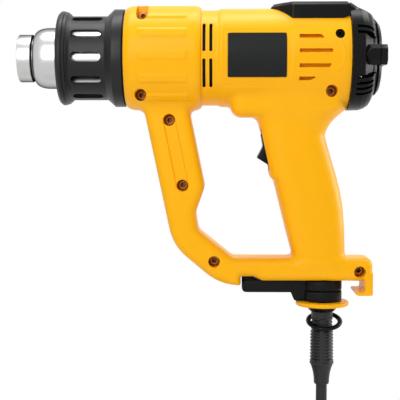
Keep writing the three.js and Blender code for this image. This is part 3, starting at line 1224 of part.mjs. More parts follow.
// Tie round the coil's bundle on its near side
function cordTie() {
  const room = CORD_R + 3 * SEAT_GAP;
  const inner = COIL_Y - COIL_INNER_R - COIL_PITCH * 0.25 + room;
  const outer = COIL_Y - COIL_INNER_R - COIL_PITCH * (COIL_TURNS_IN - 0.75) - room;
  const low = COIL_LAY_Z - CORD_R - SEAT_GAP;
  const high = COIL_LAY_Z + coilLayer + CORD_R + SEAT_GAP;
  const x = [COIL_X - TIE_WIDTH / 2, COIL_X + TIE_WIDTH / 2];
  const t = TIE_THICKNESS;
  const band = box(x, [outer - t, inner + t], [low - t, high + t]);
  return band.subtract(box([x[0] - 1, x[1] + 1], [outer, inner], [low, high]));
}

add("cord_tie", cordTie(), black);

// Plug beside the coil, lying along -Y
const plugTailY = tailY - COIL_TAIL - SEAT_GAP;
const plugFaceY = plugTailY - PLUG_TAIL_LENGTH - PLUG_LENGTH;

function plugBody() {
  const count = 16;
  const section = (along, halfWidth, halfHeight, power) => Array.from({ length: count }, (_, j) => {
    const turn = (2 * Math.PI * (j + 0.5)) / count;
    const x = Math.sign(Math.cos(turn)) * Math.abs(Math.cos(turn)) ** (2 / power);
    const z = Math.sign(Math.sin(turn)) * Math.abs(Math.sin(turn)) ** (2 / power);
    return [tailX + halfWidth * x, plugTailY - along, plugZ + halfHeight * z];
  });
  const body = loft([
    section(0, PLUG_TAIL_R, PLUG_TAIL_R, 2),
    section(PLUG_TAIL_LENGTH, PLUG_TAIL_R * 1.3, PLUG_TAIL_R * 1.3, 2.2),
    section(PLUG_TAIL_LENGTH + 5, PLUG_HALF_WIDTH * 0.85, PLUG_HALF_HEIGHT * 0.9, 3),
    section(PLUG_TAIL_LENGTH + 12, PLUG_HALF_WIDTH, PLUG_HALF_HEIGHT, 4),
    section(PLUG_TAIL_LENGTH + PLUG_LENGTH, PLUG_HALF_WIDTH, PLUG_HALF_HEIGHT, 4),
  ]);
  return body;
}

add("plug_body", plugBody(), black);
const bladeStartY = plugFaceY - SEAT_GAP;
for (const [name, side] of [["plug_blade_left", -1], ["plug_blade_right", 1]]) {
  const x = tailX + side * BLADE_SPAN;
  add(name, box([x - BLADE_HALF_WIDTH, x + BLADE_HALF_WIDTH], [bladeStartY - BLADE_LENGTH, bladeStartY],
    [plugZ + 1 - BLADE_HALF_HEIGHT, plugZ + 1 + BLADE_HALF_HEIGHT]), brass);
}
const earthRod = rod(EARTH_R, bladeStartY - EARTH_LENGTH, bladeStartY);
add("plug_earth_pin", latheY(earthRod, tailX, plugZ - EARTH_DROP, 12), brass);

export default tool;
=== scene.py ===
import bmesh
import bpy
import numpy as np
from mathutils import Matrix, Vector


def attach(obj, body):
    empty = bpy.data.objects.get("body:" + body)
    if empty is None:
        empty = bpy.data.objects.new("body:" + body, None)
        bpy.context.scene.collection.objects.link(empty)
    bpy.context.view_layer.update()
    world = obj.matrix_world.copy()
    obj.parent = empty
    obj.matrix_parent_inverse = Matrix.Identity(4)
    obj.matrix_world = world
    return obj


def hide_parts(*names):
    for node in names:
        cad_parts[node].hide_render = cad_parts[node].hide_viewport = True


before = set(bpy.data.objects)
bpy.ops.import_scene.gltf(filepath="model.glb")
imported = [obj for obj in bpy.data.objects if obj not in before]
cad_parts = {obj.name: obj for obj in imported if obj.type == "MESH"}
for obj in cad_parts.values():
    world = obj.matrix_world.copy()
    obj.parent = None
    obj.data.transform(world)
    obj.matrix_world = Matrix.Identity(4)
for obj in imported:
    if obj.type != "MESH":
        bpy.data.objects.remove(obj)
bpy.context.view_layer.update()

# Hot air tool. Lengths are in millimetres here and become metres when a mesh is made.
mm = 0.001
axisZ = 91.5  # height of the barrel's axis
postX = 11.5  # place of the stand's post, sleeve and lead
barrelLine = (0, 0, axisZ)  # a point on the barrel's axis
postLine = (postX, 0, 0)  # a point on the post's axis
past = 60  # beyond any piece round the barrel, for cuts
far = 200  # beyond the whole tool, for cuts
sideName = {-1: "Left", 1: "Right"}
scene = bpy.context.scene
scene.view_settings.view_transform = "Standard"
print("frame loaded,", len(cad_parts), "nodes")

# Camera at the photograph's angle
camera = dict(at=(-58, -720, 38.5), aim=(-74.2, 0, -7), angle=0.38327)


def placeCamera(look):
    data = bpy.data.cameras.new("photoCamera")
    data.lens_unit = "FOV"
    data.angle = look["angle"]
    eye = bpy.data.objects.new("photoCamera", data)
    eye.location = Vector(look["at"]) * mm
    heading = Vector(look["aim"]) - Vector(look["at"])
    eye.rotation_euler = heading.to_track_quat("-Z", "Y").to_euler()
    scene.collection.objects.link(eye)
    scene.camera = eye


placeCamera(camera)


# Node steps that several materials share: arithmetic, noise, and 0 to 1 stretched between two values. A colour
# mix has its share in socket 0, its two colours in 6 and 7, and gives its result in 2
def mathStep(nodes, links, operation, first, second=None):
    step = nodes.new("ShaderNodeMath")
    step.operation = operation
    links.new(first, step.inputs[0])
    if isinstance(second, float):
        step.inputs[1].default_value = second
    elif second is not None:
        links.new(second, step.inputs[1])
    return step.outputs[0]


def noiseOf(nodes, links, place, scale, detail=2):
    noise = nodes.new("ShaderNodeTexNoise")
    noise.inputs["Scale"].default_value = scale
    noise.inputs["Detail"].default_value = detail
    links.new(place, noise.inputs["Vector"])
    return noise.outputs["Fac"]


def stretched(nodes, links, value, low, high):
    spread = nodes.new("ShaderNodeMapRange")
    spread.inputs["To Min"].default_value = low
    spread.inputs["To Max"].default_value = high
    links.new(value, spread.inputs["Value"])
    return spread.outputs["Result"]


# Painted shade: the colour is darkened in a narrow band across X, standing in for the shade in the nozzle's groove
def paintedGrooveShade(nodes, links, place, tint, look):
    split = nodes.new("ShaderNodeSeparateXYZ")
    links.new(place, split.inputs[0])
    away = mathStep(nodes, links, "SUBTRACT", split.outputs["X"], look["grooveShadeX"] * mm)
    shade = nodes.new("ShaderNodeMapRange")
    shade.inputs["From Min"].default_value = look["grooveShadeHalf"] * mm
    shade.inputs["From Max"].default_value = (look["grooveShadeHalf"] + look["grooveShadeSoft"]) * mm
    shade.inputs["To Min"].default_value = look["grooveShade"]
    links.new(mathStep(nodes, links, "ABSOLUTE", away), shade.inputs["Value"])
    dark = nodes.new("ShaderNodeMix")
    dark.data_type = "RGBA"
    dark.blend_type = "MULTIPLY"
    dark.inputs[0].default_value = 1
    links.new(tint, dark.inputs[6])
    links.new(shade.outputs["Result"], dark.inputs[7])
    return dark.outputs[2]


# Finishes: a slow cloud varies the colour and gloss, a fine grain gives the bump
def makeFinish(name, look):
    material = bpy.data.materials.new(name)
    material.use_nodes = True
    nodes, links = material.node_tree.nodes, material.node_tree.links
    shader = nodes["Principled BSDF"]
    shader.inputs["Metallic"].default_value = look.get("metal", 0)
    shader.inputs["Specular IOR Level"].default_value = look.get("specular", 0.5)
    shader.inputs["Specular Tint"].default_value = [look.get("rimTint", 1)] * 3 + [1]
    place = nodes.new("ShaderNodeTexCoord").outputs["Object"]
    drawn = nodes.new("ShaderNodeMapping")
    drawn.inputs["Scale"].default_value = look.get("stretch", (1, 1, 1))
    links.new(place, drawn.inputs["Vector"])
    cloud = noiseOf(nodes, links, drawn.outputs["Vector"], look["cloud"], 4)
    tint = nodes.new("ShaderNodeMix")
    tint.data_type = "RGBA"
    for socket, share in ((6, 1 - look["spread"]), (7, 1 + look["spread"])):
        tint.inputs[socket].default_value = [min(c * share, 1) for c in look["colour"]] + [1]
    links.new(cloud, tint.inputs[0])
    colour = tint.outputs[2]
    # Painted shade in a narrow band across X, where the look asks for it
    if "grooveShade" in look:
        colour = paintedGrooveShade(nodes, links, place, colour, look)
    links.new(colour, shader.inputs["Base Color"])
    gloss = stretched(nodes, links, cloud, look["rough"] - look["roughSpread"], look["rough"] + look["roughSpread"])
    links.new(gloss, shader.inputs["Roughness"])
    bump = nodes.new("ShaderNodeBump")
    bump.inputs["Strength"].default_value = look["bump"]
    bump.inputs["Distance"].default_value = look["depth"]
    links.new(noiseOf(nodes, links, drawn.outputs["Vector"], look["grain"], 3), bump.inputs["Height"])
    links.new(bump.outputs["Normal"], shader.inputs["Normal"])
    return material


yellowLook = dict(colour=(0.93, 0.432, 0.0016), spread=0.03, cloud=60, rough=0.34, roughSpread=0.05,
                  specular=0.17, grain=2600, bump=0.12, depth=0.00006)
glossLook = dict(colour=(0.0038, 0.004, 0.004), spread=0.25, cloud=90, rough=0.27, roughSpread=0.05,
                 specular=0.11, grain=1800, bump=0.05, depth=0.00004)
satinLook = dict(colour=(0.005, 0.0053, 0.0054), spread=0.12, cloud=70, rough=0.42, roughSpread=0.06,
                 specular=0.12, grain=3000, bump=0.18, depth=0.00006)
shroudLook = dict(colour=(0.009, 0.0094, 0.0096), spread=0.12, cloud=70, rough=0.38, roughSpread=0.05,
                  specular=0.27, grain=3000, bump=0.15, depth=0.00006)
rubberLook = dict(colour=(0.012, 0.0122, 0.0122), spread=0.15, cloud=120, rough=0.42, roughSpread=0.05,
                  specular=0.34, grain=2200, bump=0.2, depth=0.00006)
steelLook = dict(colour=(0.57, 0.57, 0.566), spread=0.015, cloud=240, rough=0.29, roughSpread=0.015, metal=1,
                 rimTint=0, stretch=(3.5, 0.5, 0.5), grain=1300, bump=0.01, depth=0.00002)
# The nozzle's steel gets a band of painted shade at its groove
nozzleLook = dict(steelLook, grooveShadeX=-189.2, grooveShadeHalf=0.75, grooveShadeSoft=0.5, grooveShade=0.22)
screwLook = dict(colour=(0.5, 0.21, 0.03), spread=0.2, cloud=500, rough=0.42, roughSpread=0.08, metal=0.35,
                 grain=2500, bump=0.15, depth=0.00004)
insulatorLook = dict(colour=(0.62, 0.53, 0.38), spread=0.14, cloud=180, rough=0.7, roughSpread=0.1,
                     grain=1500, bump=0.3, depth=0.0001)
wireLook = dict(colour=(0.42, 0.27, 0.17), spread=0.2, cloud=300, rough=0.42, roughSpread=0.1, metal=1,
                grain=2500, bump=0.15, depth=0.00004)
metalLook = dict(colour=(0.58, 0.59, 0.6), spread=0.08, cloud=200, rough=0.38, roughSpread=0.08, metal=1,
                 grain=1800, bump=0.12, depth=0.00004)
boardLook = dict(colour=(0.02, 0.16, 0.06), spread=0.18, cloud=260, rough=0.42, roughSpread=0.08,
                 grain=900, bump=0.2, depth=0.00006)
greyLook = dict(colour=(0.27, 0.28, 0.28), spread=0.08, cloud=150, rough=0.5, roughSpread=0.06,
                grain=2500, bump=0.15, depth=0.00005)
brassLook = dict(colour=(0.74, 0.55, 0.24), spread=0.08, cloud=260, rough=0.26, roughSpread=0.06, metal=1,
                 stretch=(0.6, 3, 0.6), grain=1500, bump=0.1, depth=0.00003)
plateLook = dict(colour=(0.0125, 0.0133, 0.0136), spread=0.1, cloud=90, rough=0.4, roughSpread=0.05,
                 specular=0.12, grain=3500, bump=0.1, depth=0.00003)
finishes = {
    "yellow_housing": makeFinish("yellowMoulding", yellowLook),
    "black_gloss": makeFinish("blackMoulding", glossLook),
    "black_satin": makeFinish("satinMoulding", satinLook),
    "black_rubber": makeFinish("leadRubber", rubberLook),
    "bright_steel": makeFinish("polishedSteel", steelLook),
    "dark_steel": makeFinish("passivatedScrew", screwLook),
    "insulator": makeFinish("heaterMica", insulatorLook),
    "heater_wire": makeFinish("heaterWire", wireLook),
    "light_metal": makeFinish("castAluminium", metalLook),
    "board": makeFinish("circuitBoard", boardLook),
    "grey_plastic": makeFinish("greyMoulding", greyLook),
    "contact_brass": makeFinish("plugBrass", brassLook),
}
ownFinishes = {
    "label": makeFinish("labelPlate", plateLook),
    "shroud": makeFinish("shroudMoulding", shroudLook),
    "nozzle": makeFinish("nozzleSteel", nozzleLook),
}
print("finishes made:", len(finishes) + len(ownFinishes))


# Meshes from whole arrays of points in millimetres; equal faces go in through foreach_set
def meshOf(name, points, faces, merge=2e-6, thin=1e-7):
    mesh = bpy.data.meshes.new(name)
    points = np.asarray(points, float) * mm
    if isinstance(faces, list):
        mesh.from_pydata(points.tolist(), [], faces)
    else:
        count, sides = faces.shape
        mesh.vertices.add(len(points))
        mesh.vertices.foreach_set("co", points.ravel())
        mesh.loops.add(count * sides)
        mesh.loops.foreach_set("vertex_index", faces.astype(np.int32).ravel())
        mesh.polygons.add(count)
        mesh.polygons.foreach_set("loop_start", np.arange(count, dtype=np.int32) * sides)
    mesh.update(calc_edges=True)
    shape = bmesh.new()  # merge seams and poles, then turn every face outwards
    shape.from_mesh(mesh)
    bmesh.ops.remove_doubles(shape, verts=shape.verts, dist=merge)
    bmesh.ops.dissolve_degenerate(shape, edges=shape.edges, dist=thin)
    bmesh.ops.recalc_face_normals(shape, faces=shape.faces)
    shape.to_mesh(mesh)
    shape.free()
    return mesh


def solidOf(name, points, faces):
    piece = bpy.data.objects.new(name, meshOf(name, points, faces))
    scene.collection.objects.link(piece)
    return piece


def gridFaces(rows, columns, wrap=True):
    row = np.arange(rows if wrap else rows - 1)[:, None]
    column = np.arange(columns - 1)[None, :]
    nextRow = (row + 1) % rows
    corners = (row * columns + column, nextRow * columns + column,
               nextRow * columns + column + 1, row * columns + column + 1)
    return np.stack(np.broadcast_arrays(*corners), -1).reshape(-1, 4)


# A profile of radius and place is carried round its axis through one full turn
def turned(name, profile, axis="x", centre=(0, 0, 0), steps=96):
    profile = np.asarray(profile, float)
    turn = np.linspace(0, 2 * np.pi, steps, endpoint=False)[:, None]
    across, up = profile[None, :, 0] * np.cos(turn), profile[None, :, 0] * np.sin(turn)
    along = profile[None, :, 1] + 0 * turn
    order = {"x": (along, across, up), "y": (across, along, up), "z": (across, up, along)}[axis]
    points = np.stack(order, -1).reshape(-1, 3) + np.asarray(centre, float)
    return solidOf(name, points, gridFaces(steps, len(profile)))


# A straight round rod along an axis, for holes, pins and rooms
def rod(name, radius, low, high, axis, centre, steps):
    return turned(name, [(0, low), (radius, low), (radius, high), (0, high)], axis, centre, steps)


# Each corner (a, b, radius) becomes an arc that touches both of its edges
def softCorners(corners, closed=True, steps=5):
    parts = []
    for i, (a, b, radius) in enumerate(corners):
        here = np.array([a, b], float)
        if radius <= 0 or (not closed and i in (0, len(corners) - 1)):
            parts.append(here[None])
            continue
        back = np.array(corners[i - 1][:2]) - here
        ahead = np.array(corners[(i + 1) % len(corners)][:2]) - here
        back, ahead = back / np.linalg.norm(back), ahead / np.linalg.norm(ahead)
        half = 0.5 * np.arccos(np.clip(back @ ahead, -1, 1))
        middle = (back + ahead) / np.linalg.norm(back + ahead)
        centre = here + middle * radius / np.sin(half)
        start = here + back * radius / np.tan(half) - centre
        end = here + ahead * radius / np.tan(half) - centre
        span, share = np.pi - 2 * half, np.linspace(0, 1, steps + 1)[:, None]
        parts.append(centre + (start * np.sin((1 - share) * span) + end * np.sin(share * span)) / np.sin(span))
    return np.concatenate(parts)


# A rectangle with equal rounded corners
def rounded(low, high, bottom, top, radius, steps=4):
    corners = [(low, bottom), (high, bottom), (high, top), (low, top)]
    return softCorners([(a, b, radius) for a, b in corners], True, steps)


# An outline is carried along an axis; near both ends it shrinks along a quarter circle of radius edge
def prism(name, outline, low, high, edge=0, axis="y", steps=3, sharpest=0.4):
    outline = np.asarray(outline, float)
    ahead = np.roll(outline, -1, 0)
    area = np.sum(outline[:, 0] * ahead[:, 1] - ahead[:, 0] * outline[:, 1])
    edges = ahead - outline
    leaving = np.stack([-edges[:, 1], edges[:, 0]], 1) * np.sign(area)
    leaving /= np.linalg.norm(leaving, axis=1)[:, None] + 1e-9
    coming = np.roll(leaving, 1, 0)  # both edges of a corner move in by the same amount
    inward = (coming + leaving) / np.maximum(1 + np.sum(coming * leaving, 1), sharpest)[:, None]
    bend = np.linspace(0, np.pi / 2, steps + 1) if edge else np.array([np.pi / 2])
    shrink = np.concatenate([edge * (1 - np.sin(bend)), edge * (1 - np.sin(bend[::-1]))])
    along = np.concatenate([low + edge * (1 - np.cos(bend)) * (edge > 0),
                            high - edge * (1 - np.cos(bend[::-1])) * (edge > 0)])
    flat = outline[None] + inward[None] * shrink[:, None, None]
    along = along[:, None] + 0 * flat[:, :, 0]
    order = {"x": (along, flat[:, :, 0], flat[:, :, 1]), "y": (flat[:, :, 0], along, flat[:, :, 1]),
             "z": (flat[:, :, 0], flat[:, :, 1], along)}[axis]
    points = np.stack(order, -1).reshape(-1, 3)
    rings, count = flat.shape[:2]
    row, column = np.arange(rings - 1)[:, None] * count, np.arange(count)[None, :]
    nextColumn = (column + 1) % count
    sides = np.stack([row + column, row + nextColumn, row + count + nextColumn, row + count + column], -1)
    ends = [list(range(count))[::-1], list(range((rings - 1) * count, rings * count))]
    return solidOf(name, points, sides.reshape(-1, 4).tolist() + ends)


def block(name, x, y, z, edge=0):
    corners = [(x[0], z[0]), (x[1], z[0]), (x[1], z[1]), (x[0], z[1])]
    return prism(name, corners, y[0], y[1], edge)


# Joins, cuts and overlaps of closed shapes
def combine(piece, other, how="DIFFERENCE", keep=False):
    step = piece.modifiers.new("combine", "BOOLEAN")
    step.operation, step.solver, step.object = how, "MANIFOLD", other
    bpy.context.view_layer.update()
    result = bpy.data.meshes.new_from_object(piece.evaluated_get(bpy.context.evaluated_depsgraph_get()))
    piece.modifiers.clear()
    old, piece.data = piece.data, result
    bpy.data.meshes.remove(old)
    if not keep:
        discard(other)
    return piece


def discard(piece):
    mesh = piece.data
    bpy.data.objects.remove(piece)
    bpy.data.meshes.remove(mesh)


def copyOf(piece, name, flip=False):
    mesh = piece.data.copy()
    if flip:  # mirrored across the middle plane
        place = np.empty(len(mesh.vertices) * 3)
        mesh.vertices.foreach_get("co", place)
        place[1::3] *= -1
        mesh.vertices.foreach_set("co", place)
        mesh.flip_normals()
    other = bpy.data.objects.new(name, mesh)
    scene.collection.objects.link(other)
    return other


# The piece's mirror image across the middle plane takes its place
def mirrored(piece):
    other = copyOf(piece, "mirrored", True)
    discard(piece)
    return other


# Turned about the barrel's axis, so that the near side goes up
def turnAbout(piece, degrees):
    place = np.empty(len(piece.data.vertices) * 3)
    piece.data.vertices.foreach_get("co", place)
    x, y, z = place.reshape(-1, 3).T
    across, up = np.cos(np.radians(degrees)), np.sin(np.radians(degrees))
    rise = z - axisZ * mm
    moved = np.stack([x, y * across + rise * up, axisZ * mm - y * up + rise * across], 1)
    piece.data.vertices.foreach_set("co", moved.ravel())
    return piece


# A finished piece: named, smooth up to its edges, painted, and carried by its body
def settle(piece, name, body, slotName, nodes=(), edge=32, finish=None):
    piece.name = name
    piece.data.name = name
    piece.data.materials.clear()
    piece.data.materials.append(finish or finishes[slotName])
    piece.data.polygons.foreach_set("material_index", np.zeros(len(piece.data.polygons), np.int32))
    piece.data.shade_smooth()
    piece.data.set_sharp_from_angle(angle=np.radians(edge))
    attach(piece, body)
    if nodes:
        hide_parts(*nodes)
    return piece


# Lead: out of the sleeve, down, round a wide bend to the floor and into a coil of two layers
lead = dict(radius=3.9, lay=-194.6, inner=34, pitch=8.4, turnsIn=3, climb=0.5, dip=2.2, coilAt=(-47.7, 46),
            tail=34, tailDrop=2.7, tailEase=0.7, tailSteps=12, dropSteps=3, perTurn=48, sides=16,
            drop=[(0, -136.5), (0, -142), (0, -148), (0, -154), (0, -158.6), (1.2, -167.9), (4.8, -176.6),
                  (10.5, -184.1), (18, -189.8), (26.7, -193.4), (34.5, -194.6), (37.9, -194.6)])


# The radius falls by one pitch a turn, dips while the line climbs a layer, and grows again on top
def coilLine(look):
    total = 2 * look["turnsIn"] + look["climb"]
    turns = np.linspace(0, total, int(total * look["perTurn"]) + 1)
    climb = np.clip((turns - look["turnsIn"]) / look["climb"], 0, 1)
    outward = np.maximum(turns - look["turnsIn"] - look["climb"], 0)
    inward = np.minimum(turns, look["turnsIn"])
    reach = look["inner"] + look["pitch"] * (look["turnsIn"] - inward + outward)
    reach = reach - look["dip"] * np.sin(np.pi * climb)
    angle = 2 * np.pi * turns
    height = look["lay"] + look["pitch"] * (climb - np.sin(2 * np.pi * climb) / (2 * np.pi))
    x, y = look["coilAt"]
    return np.stack([x + reach * np.cos(angle), y + reach * np.sin(angle), height], 1)


# A smooth line through listed points: each span is a cubic that leaves along its neighbours' direction
def smoothLine(points, steps):
    points = np.asarray(points, float)
    before = np.concatenate([2 * points[:1] - points[1:2], points[:-1]])
    after = np.concatenate([points[1:], 2 * points[-1:] - points[-2:-1]])
    slope = (after - before) / 2
    t = np.linspace(0, 1, steps, endpoint=False)[None, :, None]
    p, q, u, v = points[:-1, None], points[1:, None], slope[:-1, None], slope[1:, None]
    line = p + u * t + (3 * (q - p) - 2 * u - v) * t ** 2 + (2 * (p - q) + u + v) * t ** 3
    return np.concatenate([line.reshape(-1, points.shape[1]), points[-1:]])


# Drop, coil, and a tail that eases down to the plug's height along a smooth step
def leadPath(look):
    drop = smoothLine([(postX, y, z) for y, z in look["drop"]], look["dropSteps"])
    coil = coilLine(look)
    share = np.linspace(0, 1, look["tailSteps"] + 1)[1:]
    eased = np.minimum(share / look["tailEase"], 1)
    end = coil[-1]
    tail = np.stack([end[0] + 0 * share, end[1] - look["tail"] * share,
                     end[2] - look["tailDrop"] * eased ** 2 * (3 - 2 * eased)], 1)
    return np.concatenate([drop, coil, tail]), len(drop)


# A circle is carried along the path; its first direction is X on the drop and level on the coil
def leadTube(path, free, look):
    heading = np.gradient(path, axis=0)
    heading /= np.linalg.norm(heading, axis=1)[:, None]
    level = np.stack([heading[:, 1], -heading[:, 0], 0 * heading[:, 0]], 1)
    level /= np.linalg.norm(level, axis=1)[:, None] + 1e-9
    side = np.where(np.arange(len(path))[:, None] < free, [[1.0, 0, 0]], level)
    other = np.cross(heading, side)
    turn = np.linspace(0, 2 * np.pi, look["sides"], endpoint=False)[:, None, None]
    skin = path[None] + look["radius"] * (np.cos(turn) * side[None] + np.sin(turn) * other[None])
    skin = np.concatenate([np.repeat(path[None, :1], look["sides"], 0), skin,
                           np.repeat(path[None, -1:], look["sides"], 0)], 1)
    return solidOf("lead", skin.reshape(-1, 3), gridFaces(look["sides"], len(path) + 2))


leadLine, leadFree = leadPath(lead)
leadPiece = settle(leadTube(leadLine, leadFree, lead), "lead", "body", "black_rubber", ["cord", "cord_coil"], 60)

# Tie round the coil's bundle: a band with rounded corners
tie = dict(x=(-52.2, -43.2), inner=(-10.5, 13.5), height=(-198.8, -182.0), thickness=1.2, outerRound=4,
           innerRound=3, edge=0.4)


def makeTie(look):
    (x0, x1), (y0, y1), (z0, z1), t = look["x"], look["inner"], look["height"], look["thickness"]
    outside = rounded(y0 - t, y1 + t, z0 - t, z1 + t, look["outerRound"], 5)
    inside = rounded(y0, y1, z0, z1, look["innerRound"], 5)
    band = prism("tieBand", outside, x0, x1, look["edge"], "x")
    combine(band, prism("tieRoom", inside, x0 - 1, x1 + 1, 0, "x"))
    return settle(band, "tie", "body", "black_gloss", ["cord_tie"])


tiePiece = makeTie(tie)

# Plug: sections along -Y (place, half width, half height, power) grow from the round tail to a squarish face
plug = dict(x=-106.9, z=-188.9, tail=11.7, sides=40, face=48.3, waist=0.35, waistAt=(26, 46),
            sections=[(0, 0, 0, 2), (0, 5.2, 5.2, 2), (1, 5.4, 5.4, 2), (4, 5.6, 5.6, 2), (13, 6.9, 6.9, 2.1),
                      (15, 7.6, 7.4, 2.3), (19, 11.4, 9.8, 2.9), (24, 13.2, 10.8, 3.6), (30, 13.5, 11, 4),
                      (46.6, 13.5, 11, 4), (47.6, 13.2, 10.7, 4), (48, 12.6, 10.1, 4), (48, 0, 0, 4)],
            ridges=4, ridgeAt=30, ridgePitch=3.6, ridgeX=13.2, ridgeHalf=0.8, ridgeTall=6, ridgeEdge=0.5,
            bladeX=6.35, bladeHalf=0.75, bladeZ=(-2.15, 4.15), bladeRound=0.15, bladeEdge=0.35, bladeLong=17,
            holeR=1.5, holeAt=(13.5, 1), pinR=2.4, pinLong=17.6, pinDrop=6.5)


# Each section is a superellipse, drawn in a little along the middle of its sides
def makePlug(look):
    along, wide, tall, power = np.array(look["sections"], float).T
    turn = np.linspace(0, 2 * np.pi, look["sides"], endpoint=False)[:, None]
    across, up = (np.sign(v) * np.abs(v) ** (2 / power[None]) for v in (np.cos(turn), np.sin(turn)))
    start, end = look["waistAt"]
    waist = look["waist"] * np.sin(np.clip((along - start) / (end - start), 0, 1) * np.pi)[None]
    x = look["x"] + (wide[None] - waist * np.abs(np.sin(turn))) * across
    z = look["z"] + tall[None] * up
    y = look["tail"] - along[None] + 0 * turn
    body = solidOf("plugBody", np.stack([x, y, z], -1).reshape(-1, 3), gridFaces(look["sides"], len(along)))
    for step in range(look["ridges"]):  # grip ridges across the two broad sides
        for side in (-1, 1):
            x, half = look["x"] + side * look["ridgeX"], look["ridgeHalf"]
            rest = look["tail"] - look["ridgeAt"] - look["ridgePitch"] * step
            ridge = block("ridge", (x - half, x + half), (rest - half, rest + half),
                          (look["z"] - look["ridgeTall"], look["z"] + look["ridgeTall"]), look["ridgeEdge"])
            combine(body, ridge, "UNION")
    pieces = [settle(body, "plugBody", "body", "black_gloss", ["plug_body"])]
    face = look["tail"] - look["face"]
    (low, high), half, (back, rise) = look["bladeZ"], look["bladeHalf"], look["holeAt"]
    for side, node in ((-1, "plug_blade_left"), (1, "plug_blade_right")):
        x = look["x"] + side * look["bladeX"]
        shape = rounded(x - half, x + half, look["z"] + low, look["z"] + high, look["bladeRound"], 2)
        blade = prism(node, shape, face - look["bladeLong"], face, look["bladeEdge"])
        combine(blade, rod("hole", look["holeR"], -2, 2, "x", (x, face - back, look["z"] + rise), 24))
        pieces.append(settle(blade, "blade" + sideName[side], "body", "contact_brass", [node]))
    r, tip = look["pinR"], face - look["pinLong"]
    dome = [(r * np.sin(a), tip - r * np.cos(a)) for a in np.linspace(0, np.pi / 2, 8)]
    pin = turned("earthPin", dome + [(r, face), (0, face)], "y", (look["x"], 0, look["z"] - look["pinDrop"]), 32)
    pieces.append(settle(pin, "earthPin", "body", "contact_brass", ["plug_earth_pin"]))
    return pieces


plugPieces = makePlug(plug)
print("lead, tie and plug made")


# Fields: a shape is where the field is negative; softMin joins two with a fillet about as wide as k
def softMin(a, b, k):
    share = np.clip(0.5 + 0.5 * (b - a) / k, 0, 1)
    return b + (a - b) * share - k * share * (1 - share)


def softMax(a, b, k):
    return -softMin(-a, -b, k)


# Least distance to the outline's edges, negative inside it
def outlineDistance(px, pz, outline):
    shape = np.broadcast(px, pz).shape
    near, inside = np.full(shape, 1e9), np.zeros(shape, bool)
    for (ax, az), (bx, bz) in zip(outline, np.roll(outline, -1, 0)):
        ex, ez = bx - ax, bz - az
        share = np.clip(((px - ax) * ex + (pz - az) * ez) / (ex * ex + ez * ez + 1e-12), 0, 1)
        near = np.minimum(near, (px - ax - share * ex) ** 2 + (pz - az - share * ez) ** 2)
        level = ez if abs(ez) > 1e-9 else 1e-9
        inside ^= ((az > pz) != (bz > pz)) & (px < ax + ex * (pz - az) / level)
    return np.sqrt(near) * np.where(inside, -1, 1)


# An outline made thick across Y, with its rim rounded by a circle
def roundedPlate(flat, y, half, rim):
    a, b = flat + rim, np.abs(y) - (half - rim)
    return np.minimum(np.maximum(a, b), 0) + np.hypot(np.maximum(a, 0), np.maximum(b, 0)) - rim


# Each cell that the field's zero crosses gets a vertex at the mean of its edge crossings, and each crossed
# grid edge a face; the vertices then step down the field's slope onto zero
def fieldMesh(name, field, low, high, step, rounds=3, nudge=0.03):
    axes = [np.arange(a, b + step, step) for a, b in zip(low, high)]
    value = field(axes[0][:, None, None], axes[1][None, :, None], axes[2][None, None, :])
    inside = value < 0
    corner = [(i, j, k) for i in (0, 1) for j in (0, 1) for k in (0, 1)]
    cells = [inside[i:i + inside.shape[0] - 1, j:j + inside.shape[1] - 1, k:k + inside.shape[2] - 1]
             for i, j, k in corner]
    total = np.sum(cells, axis=0, dtype=np.int8)
    active = (total > 0) & (total < 8)
    base = np.argwhere(active)
    index = np.full(active.shape, -1, np.int32)
    index[active] = np.arange(len(base))
    at = np.stack([value[base[:, 0] + i, base[:, 1] + j, base[:, 2] + k] for i, j, k in corner], 1)
    place, count = np.zeros((len(base), 3)), np.zeros((len(base), 1))
    for p in range(8):
        for q in range(p + 1, 8):
            if sum(abs(a - b) for a, b in zip(corner[p], corner[q])) != 1:
                continue
            crossed = (at[:, p] < 0) != (at[:, q] < 0)
            share = np.where(crossed, at[:, p] / np.where(crossed, at[:, p] - at[:, q], 1), 0)[:, None]
            spot = np.array(corner[p]) + share * (np.array(corner[q]) - np.array(corner[p]))
            place += np.where(crossed[:, None], spot, 0)
            count += crossed[:, None]
    points = (base + place / count) * step + np.array([a[0] for a in axes])
    faces = []
    for axis in range(3):
        order = [axis, (axis + 1) % 3, (axis + 2) % 3]
        sign, cell = inside.transpose(order), index.transpose(order)
        change = sign[:-1, 1:-1, 1:-1] != sign[1:, 1:-1, 1:-1]
        i, j, k = np.nonzero(change)
        quad = np.stack([cell[i, j, k], cell[i, j + 1, k], cell[i, j + 1, k + 1], cell[i, j, k + 1]], 1)
        faces.append(np.where(sign[i, j + 1, k + 1][:, None], quad, quad[:, ::-1]))
    for _ in range(rounds):
        x, y, z = points.T
        here = field(x, y, z)
        ahead = np.stack([field(x + nudge, y, z), field(x, y + nudge, z), field(x, y, z + nudge)], 1)
        slope = (ahead - here[:, None]) / nudge
        move = -here[:, None] * slope / (np.sum(slope ** 2, 1)[:, None] + 1e-6)
        size = np.linalg.norm(move, axis=1)[:, None] + 1e-9
        points = points + move * np.minimum(1, 0.5 * step / size)
    return solidOf(name, points, np.concatenate(faces))


# Values along a listed line, softened by a bell of the given width
def softTable(rows, width, grain=0.25, reach=40):
    rows = np.asarray(sorted(rows), float)
    fine = np.arange(rows[0, 0], rows[-1, 0], grain)
    bell = np.exp(-0.5 * (np.arange(-reach, reach + 1) * grain / width) ** 2)
    bell /= bell.sum()
    columns = [np.convolve(np.pad(np.interp(fine, rows[:, 0], column), reach, "edge"), bell, "valid")
               for column in rows[:, 1:].T]
    return fine, columns


